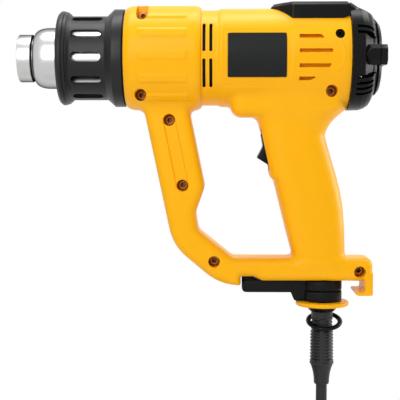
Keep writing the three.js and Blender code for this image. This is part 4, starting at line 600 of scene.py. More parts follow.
# Housing: barrel, hood, grip and closed loop in one flowing skin, parted on the middle plane
housing = dict(
    step=0.75, roomStep=2.0, roomFloor=-59.4, roomGap=1.5, wall=2.6, parting=0.1, overlap=2,
    front=-124.8, rear=27.0, endZ=(56, 53), margin=4, depth=-75, high=(48, 40, 130),
    drumR=35.8, waistR=32.7, bodyR=33.7, frontR=33.5, noseReach=1.4, drumX=(-119.2, -77.4, -72.8),
    waistX=(-62.0, -59.6), padAt=(49.5, 24.5, -0.5, -25.5, -50.5), padHalf=5.6, padX=(-115.4, -81.8),
    padRise=0.75, padSoft=(2, 1.6), panel=(-58.3, -11.5, -39, 31.3), panelDepth=0.32, panelSoft=(0.9, 1.5),
    arcAt=(7.3, 91.5), arcR=15, arcHalf=0.7, arcRise=0.3, arcX=(15, 40, 2), arcY=20,
    hood=[(-53.0, 84, 0), (-53.0, 50.6, 7.5), (12, 50.6, 3), (23, 57.5, 4), (23, 84, 0)], hoodHalf=21, hoodRim=7,
    hoodJoin=3.2, gripJoin=([44, 54], [7, 2.8]), loopJoin=([-30, 20], [4, 6.5]), hookJoin=0.6,
    gripPower=(3.8, 2.6), gripScale=0.95, gripSoft=0.9, gripFoot=(-50.5, 2.5), gripTop=82,
    # height, front edge, rear edge, half width
    grip=[(84, -36, 25, 30), (70, -36, 26, 26.5), (62, -36, 26.8, 23.5), (56, -35.8, 26.6, 21.3),
          (53, -35, 22.8, 20.4), (49.7, -34.4, 19, 19.6), (46.2, -33.6, 16, 19.1), (42, -32.8, 13.4, 18.7),
          (38, -32, 12.2, 18.5), (32, -30.8, 13.9, 18.4), (21, -28.4, 17.1, 18.4), (11, -26.1, 20.2, 18.4),
          (9, -25.6, 20.7, 18.4), (7.4, -23.3, 21.1, 18.4), (0, -21.4, 23.1, 18.4), (-12.3, -18.4, 25.2, 18.2),
          (-26.6, -14.8, 26.3, 17.8), (-39.7, -11.3, 26.7, 17.3), (-50, -8.6, 27, 17), (-60, -6, 27.4, 16.8)],
    # outline of the loop from the drum down the front, along under the bar and back
    loop=[(-116.6, 75, 0), (-92.7, -37.9, 35), (-61.8, -63.9, 36), (-45.8, -65.8, 1.4), (-45.8, -59.2, 0.8),
          (-36.6, -59.2, 3), (-31, -62.1, 4), (45, -62.1, 0.6), (45, -46.4, 4.4), (-51.4, -46.4, 8),
          (-75.1, -27.3, 7), (-77, -15, 7), (-70.6, 2.7, 12), (-85.5, 75, 0)],
    loopHalf=16, loopRim=6,
    hook=[(39.3, -56, 0), (39.3, -69.4, 0.9), (33.3, -69.4, 0.3), (33.3, -70.9, 0.4), (34.6, -72, 0.8),
          (45, -72, 1.2), (45, -56, 0)], hookRim=1.3,
    groove=((-95, 48.6), (-85.9, 3.9)), grooveR=4.4, grooveDepth=1.3, grooveRound=1.2,
)


# The drum eases off to the nose along a parabola and to the waist along a quarter ellipse; the body rises from
# the waist along a smooth step
def barrelRadius(x, look):
    front, rear, end = look["drumX"]
    along = np.clip((front - x) / (front - look["front"]), 0, look["noseReach"])
    nose = look["drumR"] - (look["drumR"] - look["frontR"]) * along ** 2
    bend = np.sqrt(np.clip(1 - np.clip((x - rear) / (end - rear), 0, 1) ** 2, 0, 1))
    drum = np.minimum(nose, look["waistR"] + (look["drumR"] - look["waistR"]) * bend)
    start, stop = look["waistX"]
    share = np.clip((x - start) / (stop - start), 0, 1)
    return drum + (look["bodyR"] - look["waistR"]) * share * share * (3 - 2 * share)


# One between low and high, with a ramp down to nothing at both ends
def window(value, low, high, soft):
    return np.clip((value - low) / soft, 0, 1) * np.clip((high - value) / soft, 0, 1)


# Pads stand up round the drum, a panel lies back round the label and an arc stands up by the louvres: each is
# a soft window in X times a soft window in angle or radius
def padRelief(x, y, z, look):
    angle = np.degrees(np.arctan2(z - axisZ, np.abs(y) + 1e-9))
    softAngle, softX = look["padSoft"]
    rows = sum(window(angle, a - look["padHalf"], a + look["padHalf"], softAngle) for a in look["padAt"])
    pads = look["padRise"] * rows * window(x, *look["padX"], softX)
    x0, x1, low, high = look["panel"]
    softX, softAngle = look["panelSoft"]
    panel = look["panelDepth"] * window(x, x0, x1, softX) * window(angle, low, high, softAngle)
    away = np.abs(np.hypot(x - look["arcAt"][0], z - look["arcAt"][1]) - look["arcR"])
    arc = look["arcRise"] * np.clip(1 - away / look["arcHalf"], 0, 1) * window(x, *look["arcX"])
    return pads - panel + arc * (np.abs(y) > look["arcY"])


gripHeights, gripColumns = softTable(housing["grip"], housing["gripSoft"])
loopOutline = softCorners(housing["loop"], True, 9)
hookOutline = softCorners(housing["hook"], True, 4)
hoodOutline = softCorners(housing["hood"], True, 6)


# Barrel, hood, grip, loop and hook joined with fillets. The grip is a superellipse whose edges and width follow
# the height, the barrel a radius that follows X, the others are outlines made thick
def housingField(x, y, z):
    look = housing
    barrel = np.hypot(y, z - axisZ) - barrelRadius(x, look) - padRelief(x, y, z, look)
    ends = np.maximum(look["front"] - look["overlap"] - x, x - look["rear"] - look["overlap"])
    barrel = np.maximum(barrel, ends)
    hood = roundedPlate(outlineDistance(x, z, hoodOutline), y, look["hoodHalf"], look["hoodRim"])
    front, rear, half = (np.interp(z, gripHeights, column) for column in gripColumns)
    power = np.where(x < (front + rear) / 2, *look["gripPower"])  # squarer at the front, rounder behind
    across = np.abs((x - (front + rear) / 2) / ((rear - front) / 2)) ** power + np.abs(y / half) ** power
    grip = (across ** (1 / power) - 1) * half * look["gripScale"]
    foot, footRound = look["gripFoot"]
    grip = np.maximum(softMax(grip, foot - z, footRound), z - look["gripTop"])
    loop = roundedPlate(outlineDistance(x, z, loopOutline), y, look["loopHalf"], look["loopRim"])
    hook = roundedPlate(outlineDistance(x, z, hookOutline), y, look["loopHalf"], look["hookRim"])
    whole = softMin(softMin(barrel, hood, look["hoodJoin"]), grip, np.interp(z, *look["gripJoin"]))
    whole = softMin(softMin(whole, loop, np.interp(z, *look["loopJoin"])), hook, look["hookJoin"])
    return np.maximum(whole, -look["overlap"] - y)


# The room lies one wall inside the skin, reaches past the middle plane and ends above the bar's underside
def roomField(x, y, z):
    inside = housingField(x, np.maximum(np.abs(y), housing["roomGap"]), z) + housing["wall"]
    return np.maximum(np.maximum(inside, -housing["margin"] - y), housing["roomFloor"] - z)


# Screw places as x, z and depth of the counterbore's floor; vents and louvres as outlines in X and Z
fixing = dict(
    screws=[(-112.8, 119.4, 7), (-113.8, 65.4, 9), (-95, 48.6, 3.2), (-85.9, 3.9, 3.2), (-64.2, -48.6, 3.2),
            (35.8, -55.5, 3.2), (14.7, 68, 12)],
    boreR=4.0, boreStart=-60, bossR=5.0, bossY=(-1, 45), notchStep=0.1, notchTop=140, shankR=1.9, shankEnd=10,
    capScrew=(19.4, 105.5), capBore=(3.2, 15, 40), postHole=(8.5, -64, -58),
    barrelRoom=[(0, -140), (31.0, -140), (31.0, -122), (30.5, -70), (31.1, -55), (31.1, 40), (0, 40)],
    vents=[(-71.95, -69.85, 93.9, 112.8), (-67.35, -65.25, 93.9, 112.8),
           (-71.95, -69.85, 70.5, 89.1), (-67.35, -65.25, 70.5, 89.1)],
    louvres=[[(-7.5, 105.2), (6.8, 105.2), (9.3, 102.6), (-7.5, 102.6)],
             [(-7.5, 95.5), (14.3, 95.5), (14.3, 93.0), (-7.5, 93.0)],
             [(-7.5, 85.7), (13.7, 85.7), (12.4, 83.2), (-7.5, 83.2)],
             [(-7.5, 77.2), (4.6, 77.2), (-0.6, 74.8), (-7.5, 74.8)]],
    cutY=(14, 40), ventRound=0.8, louvreRound=0.4, louvreFloor=(29.0, -40, 40),
    backing=(-9.6, 16.5, 72, 108), backingR=(28.2, 31.6), backingY=(12, 40),
    label=(-55, -16, 77, 106), labelR=(33.2, 33.9), labelY=(20, 40), labelRound=0.8, labelEnd=4, labelGap=0.3,
)


# A curved plate: a rounded outline in X and Z, overlapped with a ring round the barrel's axis
def labelShape(name, grow):
    (x0, x1, z0, z1), (low, high), end = fixing["label"], fixing["labelR"], fixing["labelEnd"]
    outline = rounded(x0 - grow, x1 + grow, z0 - grow, z1 + grow, fixing["labelRound"] + grow)
    low, high = low - grow, high + end * (grow > 0)
    ring = [(low, x0 - end), (high, x0 - end), (high, x1 + end), (low, x1 + end), (low, x0 - end)]
    plate = prism(name, outline, *fixing["labelY"])
    return combine(plate, turned("labelRing", ring, "x", barrelLine, 180), "INTERSECT")


switch = dict(at=(-26.5, 28.5), lean=12.6, half=8, edge=0.9, pin=(1.5, 9.4), pinHole=(1.9, 12),
              frameHalf=10.5, frame=(-1.6, 5.2, -13.4, 14.6), frameRound=0.5, rim=1.8, rimGap=0.4, rimCut=2,
              gap=0.3, mouth=12,
              rocker=[(-3.1, 11.8, 1.0), (-3.5, 3.0, 4), (-9.3, -3.9, 0.9), (-3.2, -10, 0.8), (1.2, -9.6, 0.4),
                      (1.2, 11.4, 0.4)])


# The switch's own outlines are turned by its lean and moved to its place
def leaning(outline):
    turn = np.radians(switch["lean"])
    outline = np.asarray(outline, float)
    x = switch["at"][0] + outline[:, 0] * np.cos(turn) - outline[:, 1] * np.sin(turn)
    z = switch["at"][1] + outline[:, 0] * np.sin(turn) + outline[:, 1] * np.cos(turn)
    return np.stack([x, z], 1)


# The groove between two screws: a half circle round each of them
def grooveShape(look):
    (ax, az), (bx, bz) = look["groove"]
    lean, r = np.arctan2(bz - az, bx - ax), look["grooveR"]
    ends = ((np.linspace(np.pi / 2, 3 * np.pi / 2, 13), ax, az), (np.linspace(-np.pi / 2, np.pi / 2, 13), bx, bz))
    outline = [np.stack([x + r * np.cos(lean + t), z + r * np.sin(lean + t)], 1) for t, x, z in ends]
    floor = look["loopHalf"] - look["grooveDepth"]
    return prism("groove", np.concatenate(outline), floor, fixing["cutY"][1], look["grooveRound"])


def makeHousing(look):
    low = (look["front"] - look["margin"], -look["margin"], look["depth"])
    outer = fieldMesh("housingSkin", housingField, low, look["high"], look["step"])
    low = (low[0], low[1] - look["overlap"], low[2])
    hollow = fieldMesh("housingRoom", roomField, low, look["high"], look["roomStep"], 1)
    print("housing skin", len(outer.data.vertices), "points")
    bosses = None
    for x, z, _ in fixing["screws"]:
        boss = rod("boss", fixing["bossR"], *fixing["bossY"], "y", (x, 0, z), 40)
        if z > axisZ:  # the top screw sits in a notch that is open upwards
            reach = fixing["bossR"] - fixing["notchStep"]
            wall = block("notchWall", (x - reach, x + reach), fixing["bossY"], (z, fixing["notchTop"]))
            combine(boss, wall, "UNION")
        bosses = combine(bosses, boss, "UNION") if bosses else boss
    combine(bosses, outer, "INTERSECT", True)
    combine(outer, hollow)
    combine(outer, turned("barrelRoom", fixing["barrelRoom"], "x", barrelLine, 128))
    combine(outer, bosses, "UNION")
    combine(outer, block("nearSide", (-far, far), (-far, look["parting"]), (-far, far)))
    combine(outer, block("frontEnd", (-far, look["front"]), (-far, far), (look["endZ"][0], far)))
    combine(outer, block("rearEnd", (look["rear"], far), (-far, far), (look["endZ"][1], far)))
    x0, x1, z0, z1 = fixing["backing"]
    floor, rim = fixing["backingR"]
    ring = [(floor, x0), (rim, x0), (rim, x1), (floor, x1), (floor, x0)]
    backing = turned("backing", ring, "x", barrelLine, 128)
    combine(backing, block("backingSpan", (x0 - 1, x1 + 1), fixing["backingY"], (z0, z1)), "INTERSECT")
    combine(outer, backing, "UNION")
    combine(outer, grooveShape(look))
    for x0, x1, z0, z1 in fixing["vents"]:
        combine(outer, prism("vent", rounded(x0, x1, z0, z1, fixing["ventRound"]), *fixing["cutY"]))
    for shape in fixing["louvres"]:
        outline = softCorners([(x, z, fixing["louvreRound"]) for x, z in shape], True, 3)
        slot = prism("louvre", outline, *fixing["cutY"])
        combine(outer, combine(slot, rod("core", *fixing["louvreFloor"], "x", barrelLine, 128)))
    combine(outer, labelShape("labelBed", fixing["labelGap"]))
    x, z = fixing["capScrew"]
    combine(outer, rod("capBore", *fixing["capBore"], "y", (x, 0, z), 40))
    x0, x1, z0, z1 = switch["frame"]
    gap, mouth, half = switch["gap"], x0 - switch["mouth"], switch["frameHalf"] + switch["gap"]
    gate = leaning([(mouth, z0 - gap), (x1 + gap, z0 - gap), (x1 + gap, z1 + gap), (mouth, z1 + gap)])
    combine(outer, prism("switchGate", gate, -half, half))
    combine(outer, rod("postHole", *fixing["postHole"], "z", postLine, 48))
    left = copyOf(outer, "housingLeft", True)
    for x, z, depth in fixing["screws"]:
        r, span = fixing["boreR"], (fixing["boreStart"], -depth)
        combine(left, rod("bore", r, *span, "y", (x, 0, z), 40))
        if z > axisZ:
            combine(left, block("notch", (x - r, x + r), span, (z, fixing["notchTop"])))
        for half in (left, outer):
            combine(half, rod("shankHole", fixing["shankR"], -depth - 1, fixing["shankEnd"], "y", (x, 0, z), 20))
    settle(left, "housingLeft", "body", "yellow_housing", ["housing_left"])
    settle(outer, "housingRight", "body", "yellow_housing", ["housing_right"])
    print("housing halves", len(left.data.polygons), len(outer.data.polygons), "faces")


makeHousing(housing)

for side, node in ((-1, "label_left"), (1, "label_right")):
    plate = labelShape("plate", 0)
    if side < 0:
        plate = mirrored(plate)
    settle(plate, "label" + sideName[side], "body", "black_satin", [node], 32, ownFinishes["label"])

# Screws: rounded head with a six-lobed recess, shank with ridges for its thread
# Inside the recess, faces within a share of its radius get a black finish as painted shade
screwShape = dict(headR=3.5, head=2.4, headRound=0.7, shankR=1.6, tipR=0.6, threadStart=0.2, threadPitch=1.2,
                  threadDepth=0.3, lobeR=1.7, lobeWave=0.13, lobeDepth=2.1, wellR=1.35, wellDepth=6, recessShadeR=1.2,
                  recessShadeStart=0.1, sink=2.7, reach=8.7)


# The recess's radius waves six times round
def makeScrew(name, node, at, start, length, look, sign=1, slotName="dark_steel"):
    (x, z), soft, end = at, look["headRound"], look["head"] + length
    head = [(look["headR"] - soft + soft * np.sin(a), soft - soft * np.cos(a)) for a in np.linspace(0, np.pi / 2, 5)]
    neck = [(look["headR"], look["head"]), (look["shankR"], look["head"])]
    along = np.arange(look["head"] + look["threadStart"], end - 1, look["threadPitch"] / 2)
    thread = [(look["shankR"] - look["threadDepth"] * (i % 2), value) for i, value in enumerate(along)]
    profile = [(0, 0)] + head + neck + thread + [(look["tipR"], end), (0, end)]
    piece = turned(name, [(r, start + sign * value) for r, value in profile], "y", (x, 0, z), 40)
    turn = np.linspace(0, 2 * np.pi, 48, endpoint=False)
    reach = look["lobeR"] * (1 + look["lobeWave"] * np.cos(6 * turn))
    lobes = np.stack([x + reach * np.cos(turn), z + reach * np.sin(turn)], 1)
    combine(piece, prism("recess", lobes, *sorted([start - sign, start + sign * look["lobeDepth"]])))
    wellEnd = start + sign * min(look["wellDepth"], end - 1)
    combine(piece, rod("well", look["wellR"], start, wellEnd, "y", (x, 0, z), 16))
    settle(piece, name, "body", slotName, [node])
    # A second, black finish is painted shade for the faces inside the recess
    piece.data.materials.append(finishes["black_satin"])
    centre = np.empty(len(piece.data.polygons) * 3)
    piece.data.polygons.foreach_get("center", centre)
    across, along, up = (centre.reshape(-1, 3) / mm).T
    depth = sign * (along - start)
    inside = np.hypot(across - x, up - z) < look["recessShadeR"] * look["lobeR"]
    paintedRecessShade = inside & (depth > look["recessShadeStart"]) & (depth < look["head"])  # painted shade: the recess's faces take a black finish for the shade inside it
    piece.data.polygons.foreach_set("material_index", paintedRecessShade.astype(np.int32))


for i, (x, z, depth) in enumerate(fixing["screws"]):
    makeScrew(f"screw{i + 1}", f"housing_screw_{i + 1}", (x, z), -depth - screwShape["sink"],
              depth + screwShape["reach"], screwShape)
capScrewShape = dict(screwShape, headR=2.9, lobeR=1.3, lobeDepth=1.5, start=27.1, length=4)
for side, node in ((-1, "cap_screw_left"), (1, "cap_screw_right")):
    makeScrew("capScrew" + sideName[side], node, fixing["capScrew"], side * capScrewShape["start"],
              capScrewShape["length"], capScrewShape, -side, "black_gloss")
print("labels and screws made")

# Front shroud: slotted waist between a collar and a rolled lip
shroud = dict(slots=11, first=-1.5, slotLength=21, slotWidth=6.7, slotX=-150.7, slotY=(-40, -14), slotRound=0.999,
              profile=[(24.6, -170.8, 0), (30.9, -170.8, 1.5), (32.5, -168.8, 1.2), (32.3, -167.0, 0.3),
                       (31.5, -166.5, 0.15), (32.0, -166.0, 0.3), (31.5, -164.6, 0.3), (30.4, -164.0, 0.15),
                       (30.6, -163.4, 0.3), (29.6, -162.6, 1.0), (28.9, -161.6, 1.5), (28.9, -137.7, 1.6),
                       (33.6, -132.7, 0.8), (33.6, -125.9, 0.4), (30.7, -125.9, 0), (30.7, -120.1, 0.5),
                       (28.3, -120.1, 0), (28.3, -133.4, 0), (26.4, -138, 1), (26.4, -162.8, 1),
                       (24.6, -166.8, 1), (24.6, -170.8, 0)])


def makeShroud(look):
    body = turned("shroud", softCorners(look["profile"], False, 6), "x", barrelLine, 144)
    x, half, r = look["slotX"], look["slotLength"] / 2, look["slotWidth"] / 2
    outline = rounded(x - half, x + half, axisZ - r, axisZ + r, r * look["slotRound"])
    for i in range(look["slots"]):
        slot = prism("slot", outline, *look["slotY"])
        combine(body, turnAbout(slot, look["first"] + 360 * i / look["slots"]))
    settle(body, "frontShroud", "body", "black_satin", ["front_shroud"], 32, ownFinishes["shroud"])


makeShroud(shroud)

# Nozzle tube: rolled tip, groove, dome and straight tube down to its flange
nozzle = dict(nose=-199.2, tipR=16.4, tipEnd=-190.0, grooveR=14.7, grooveEnd=0.7, domeStart=-188.4, domeEnd=-178.4,
              tubeR=21.0, swell=0.8, wall=0.9, lip=2, throat=(0.5, 1.5), rounds=(0.4, 0.45, 0.5, 0.4), rear=-105.9,
              flangeR=25)


# The dome's place follows a cosine and its radius a sine raised to a power; the inside lies one wall in
def makeNozzle(look):
    nose, tipEnd, rear, wall = look["nose"], look["tipEnd"], look["rear"], look["wall"]
    tipR, grooveR, tubeR, flangeR = look["tipR"], look["grooveR"], look["tubeR"], look["flangeR"]
    inner, outer, behind, foot = look["rounds"]
    rise, run = tubeR - grooveR, look["domeEnd"] - look["domeStart"]
    dome = [(grooveR + rise * np.sin(a) ** look["swell"], look["domeEnd"] - run * np.cos(a))
            for a in np.linspace(0, np.pi / 2, 14)]
    tip = softCorners([(tipR - wall, nose + look["lip"], 0), (tipR - wall, nose, inner), (tipR, nose, outer),
                       (tipR, tipEnd, behind), (grooveR, tipEnd + look["grooveEnd"], foot),
                       (grooveR, look["domeStart"], 0)], False, 4)
    rim = [(tubeR, rear - wall), (flangeR, rear - wall), (flangeR, rear)]
    inside = [(tubeR - wall, rear)] + [(r - wall, x + wall) for r, x in dome[::-1]]
    near, deep = look["throat"]
    throat = [(grooveR - wall, tipEnd - near), (tipR - wall, tipEnd - deep), (tipR - wall, nose + look["lip"])]
    tube = turned("nozzle", tip.tolist() + dome[1:] + rim + inside + throat, "x", barrelLine, 160)
    settle(tube, "nozzle", "body", "bright_steel", ["nozzle_tube"], 32, ownFinishes["nozzle"])


makeNozzle(nozzle)
print("shroud and nozzle made")

# Rear cap: a bowl cut by cones at its sides and by a sloping plane, with a spine on top, index ribs and air slots
cap = dict(front=27.3, rear=45.5, start=25.5, step=0.6, low=(24.5, -38, 53), high=(47.5, 38, 130), wall=2.4,
           bowl=[(25, 36.2), (27.3, 36.2), (35, 36.0), (38.7, 34.8), (41.4, 32.9), (43.2, 29.8), (44.6, 26.4),
                 (45.5, 25.2), (48, 23)], bowlScale=0.85, bowlEdge=0.4,
           spine=[(20, 100, 0), (20, 127.8, 0), (27.6, 127.8, 0), (42.9, 119.1, 1.5), (47, 114, 0), (47, 100, 0)],
           spineHalf=20, spineFrom=27, spineTaper=0.42, spineRim=1.2, spineBevel=2.4, spineEdge=0.3, spineJoin=0.8,
           slope=((27.3, 127.8), (42.9, 119.1)), slopeScale=0.873, bevelScale=0.707,
           facetX=35.4, facetR=36.0, facetSlope=1.1, facetSpan=24.4, facetSoft=2, facetEnd=12, facetScale=0.67,
           collar=(42.4, 29.0, 1.05), slots=(31.7, 24.6, -24.1, -31.7, -38.7, -45.8), slotHeight=2.1,
           slotX=(30.7, 42.3), slotR=26.1, ribY=(25.8, 35.9), ribBevel=2.9, ribZ=(60, 120),
           rib=[(32.4, 91.5), (38.6, 98.2), (48.1, 98.2), (48.1, 84.8), (38.6, 84.8)],
           room=[(0, 20), (33.6, 20), (33.6, 34.5), (30, 38), (24, 42.6), (3.4, 42.6), (3.4, 50), (0, 50)],
           roomX=(10, 60), cutZ=(40, 140),
           spigot=[(28.4, 22.3), (30.8, 22.3), (30.8, 28), (33.8, 28), (33.8, 30), (28.4, 30), (28.4, 22.3)],
           tongue=((16.3, 28.3), (21.4, 24.4), (101, 110)), tongueEdge=0.3,
           screwRooms=((24.7, 40, 3.2), (15, 30, 1.9)))
spineOutline = softCorners(cap["spine"], True, 4)
bowlTable = np.array(cap["bowl"])


# Height of the sloping plane, lowered by a wall's thickness
def slopeHeight(x, down=0):
    (x0, z0), (x1, z1) = cap["slope"]
    fall = (z1 - z0) / (x1 - x0)
    return z0 + fall * (x - x0) - down * np.hypot(1, fall)


# The bowl's radius follows X and is cut by two cones; the spine is an outline in X and Z that narrows to the rear
# and is bevelled along the sloping plane
def capField(x, y, z):
    look = cap
    reach, above = np.hypot(y, z - axisZ), (z - slopeHeight(x)) * look["slopeScale"]
    bowl = (reach - np.interp(x, bowlTable[:, 0], bowlTable[:, 1])) * look["bowlScale"]
    ringX, ringR, ringSlope = look["collar"]
    facet = look["facetR"] - (x - look["facetX"]) * look["facetSlope"]
    cone = np.where(x < ringX, facet, ringR - (x - ringX) * ringSlope)
    angle = np.degrees(np.arctan2(np.abs(z - axisZ), np.abs(y) + 1e-9))
    beyond = np.clip((angle - look["facetSpan"]) / look["facetSoft"] + 0.5, 0, 1)  # the cones end in the slots
    bowl = softMax(bowl, (reach - cone) * look["facetScale"] - look["facetEnd"] * beyond, look["bowlEdge"])
    full = look["spineHalf"]
    half = full - look["spineTaper"] * (x - look["spineFrom"])
    spine = roundedPlate(outlineDistance(x, z, spineOutline), np.abs(y) + full - half, full, look["spineRim"])
    bevel = (above + np.abs(y) - half + look["spineBevel"]) * look["bevelScale"]
    whole = softMin(bowl, softMax(spine, bevel, look["spineEdge"]), look["spineJoin"])
    whole = softMax(whole, above, look["bowlEdge"])
    return np.maximum(whole, np.maximum(x - look["rear"], look["start"] - x))


def makeCap(look):
    bowl = fieldMesh("bowl", capField, look["low"], look["high"], look["step"])
    combine(bowl, block("jointCut", (0, look["front"]), (-past, past), look["cutZ"]))
    room = turned("capRoom", look["room"], "x", barrelLine, 128)
    (x0, x1), floor = look["roomX"], look["cutZ"][0]
    under = [(x0, floor), (x1, floor), (x1, slopeHeight(x1, look["wall"])), (x0, slopeHeight(x0, look["wall"]))]
    combine(bowl, combine(room, prism("roomTop", under, -past, past), "INTERSECT"))
    combine(bowl, turned("spigot", look["spigot"], "x", barrelLine, 128), "UNION")
    x, z = fixing["capScrew"]
    (foot, crest), bevel = look["ribY"], look["ribBevel"]
    slotZ = (axisZ - look["slotHeight"] / 2, axisZ + look["slotHeight"] / 2)
    tongueX, tongueY, tongueZ = look["tongue"]
    for side in (-1, 1):
        rib = prism("rib", look["rib"], -crest, -foot + bevel, bevel, "y", 1)
        combine(rib, block("ribEnd", (look["rear"], past), (-past, past), look["ribZ"]))
        combine(rib, block("ribFoot", (0, past), (-foot, past), look["ribZ"]))
        steps = [(turnAbout(block("airSlot", look["slotX"], (-past, -look["slotR"]), slotZ), angle), "DIFFERENCE")
                 for angle in look["slots"]]
        for other, how in steps + [(rib, "UNION")]:
            combine(bowl, mirrored(other) if side > 0 else other, how)
        span = sorted(side * y for y in tongueY)
        combine(bowl, block("tongue", tongueX, span, tongueZ, look["tongueEdge"]), "UNION")
        for start, end, radius in look["screwRooms"]:
            combine(bowl, rod("screwRoom", radius, *sorted([side * start, side * end]), "y", (x, 0, z), 32))
    settle(bowl, "rearCap", "body", "black_gloss", ["rear_cap"], 28)


makeCap(cap)

# Dial: a low bevelled disc with a grip bar across it
dial = dict(front=45.9, rear=50.4, barHalf=6.7, barReach=35.6, barBevel=2.9, barEdge=0.45, cutZ=(60, 120),
            shaft=(3.3, 45, 49),
            disc=[(0, 45.9, 0), (25.6, 45.9, 0.15), (25.8, 46.2, 0.15), (23.3, 48.2, 0.4), (22.4, 48.5, 0.3),
                  (0, 48.5, 0)])


def makeDial(look):
    disc = turned("disc", softCorners(look["disc"], False, 4), "x", barrelLine, 128)
    h, bevel, reach = look["barHalf"], look["barBevel"], look["barReach"]
    corners = [(-reach, bevel - h), (-reach, h - bevel), (bevel - reach, h), (reach - bevel, h), (reach, h - bevel),
               (reach, bevel - h), (reach - bevel, -h), (bevel - reach, -h)]
    shape = [(y, axisZ + z) for y, z in corners]
    bar = prism("bar", shape, look["front"] - 1, look["rear"], look["barEdge"], "x", 2)
    combine(bar, block("barFront", (0, look["front"]), (-past, past), look["cutZ"]))
    combine(disc, bar, "UNION")
    combine(disc, rod("shaftHole", *look["shaft"], "x", barrelLine, 40))
    settle(disc, "dial", "dial", "black_gloss", ["temperature_dial"], 28)


makeDial(dial)

# Top cover: a shallow block with a pointed prow and a bevelled rim, hollowed to sit on the barrel
cover = dict(plan=[(-25.4, -5.5, 2), (-19.8, -14, 4), (-12.2, -23, 3), (27, -23, 0), (27, 23, 0), (-12.2, 23, 3),
                   (-19.8, 14, 4), (-25.4, 5.5, 2)], low=105.5, top=127.8, bevel=2.2, seatR=34.0, skirt=4,
             skirtLow=60, corner=[(21.5, 115.9), (28, 119.6), (28, 100), (21.5, 100)])


def makeCover(look):
    plan = softCorners(look["plan"], True, 4)
    piece = prism("cover", plan, look["low"] - look["skirt"], look["top"], look["bevel"], "z", 1)
    combine(piece, block("skirt", (-past, past), (-past, past), (look["skirtLow"], look["low"])))
    combine(piece, rod("seat", look["seatR"], -past, past, "x", barrelLine, 160))
    combine(piece, prism("rearCorner", look["corner"], -past, past))
    settle(piece, "topCover", "body", "black_gloss", ["top_cover"], 20)


makeCover(cover)


# Rocker and its frame lean with the grip's front
def makeSwitch(look):
    half, pinAt = look["half"], (look["at"][0], 0, look["at"][1])
    rocker = prism("rocker", leaning(softCorners(look["rocker"], True, 6)), -half, half, look["edge"], "y", 4)
    radius, reach = look["pin"]
    combine(rocker, rod("pin", radius, -reach, reach, "y", pinAt, 32), "UNION")
    settle(rocker, "rocker", "rocker_body", "black_gloss", ["rocker"], 30)
    x0, x1, z0, z1 = look["frame"]
    outline = leaning(rounded(x0, x1, z0, z1, look["frameRound"]))
    whole = prism("switchFrame", outline, -look["frameHalf"], look["frameHalf"], look["frameRound"])
    x0, x1, z0, z1 = x0 - look["rimCut"], x1 + look["rimCut"], z0 + look["rim"], z1 - look["rim"]
    inner = leaning([(x0, z0), (x1, z0), (x1, z1), (x0, z1)])
    combine(whole, prism("window", inner, -half - look["rimGap"], half + look["rimGap"]))
    radius, reach = look["pinHole"]
    combine(whole, rod("pinHole", radius, -reach, reach, "y", pinAt, 32))
    settle(whole, "switchFrame", "body", "black_gloss", ["switch_frame"], 30)


makeSwitch(switch)
print("cap, dial, cover and switch made")

# Swivel stand: arm with an upturned tip and a web under it, turning on the hub
stand = dict(arm=[(-44.9, -71.1, 3), (11.5, -71.1, 0), (11.5, -62.5, 0), (-44.9, -62.5, 0.4)], half=6, armEdge=0.9,
             endRound=2.5, planX=40, planZ=(-90, -50), low=-69.5, top=-62.5, boreR=8.6, boreZ=(-72, -60),
             hubR=13.6, hubGap=0.4, hubRound=0.9, hubLow=-80, tip=(-44.9, -39.3, -59.6), tipRamp=5.9, tipHalf=4,
             tipEdge=0.7, tipRounds=(1.0, 1.6), webEdge=1.0,
             web=[(-13, -66, 0), (-10.9, -70.8, 0.8), (-8.4, -76.8, 1.4), (1, -76.8, 0), (1, -66, 0)])


def makeStand(look):
    half, r, low, top, hubR = look["half"], look["endRound"], look["low"], look["top"], look["hubR"]
    whole = prism("stand", softCorners(look["arm"], True, 5), -half, half, look["armEdge"])
    x0, x1, crest = look["tip"]
    plan = [(x0, -half, r), (look["planX"], -half, 0), (look["planX"], half, 0), (x0, half, r)]
    combine(whole, prism("plan", softCorners(plan, True, 4), *look["planZ"], 0, "z"), "INTERSECT")
    end, (rampRound, tipRound) = x1 + look["tipRamp"], look["tipRounds"]
    tip = [(x0, low + 1, 0), (end, low + 1, 0), (end, top, 0), (x1, crest, rampRound), (x0, crest, tipRound)]
    tip = prism("tip", softCorners(tip, True, 4), -look["tipHalf"], look["tipHalf"], look["tipEdge"])
    combine(whole, tip, "UNION")
    combine(whole, prism("web", softCorners(look["web"], True, 4), -half, half, look["webEdge"]), "UNION")
    combine(whole, rod("hubRoom", hubR + look["hubGap"], look["hubLow"], low, "z", postLine, 96))
    boss = [(0, low, 0), (hubR, low, look["hubRound"]), (hubR, top, look["hubRound"]), (0, top, 0)]
    combine(whole, turned("hubRing", softCorners(boss, False, 4), "z", postLine, 96), "UNION")
    combine(whole, rod("bore", look["boreR"], *look["boreZ"], "z", postLine, 72))
    settle(whole, "stand", "stand", "black_satin", ["support_stand"], 30)


makeStand(stand)

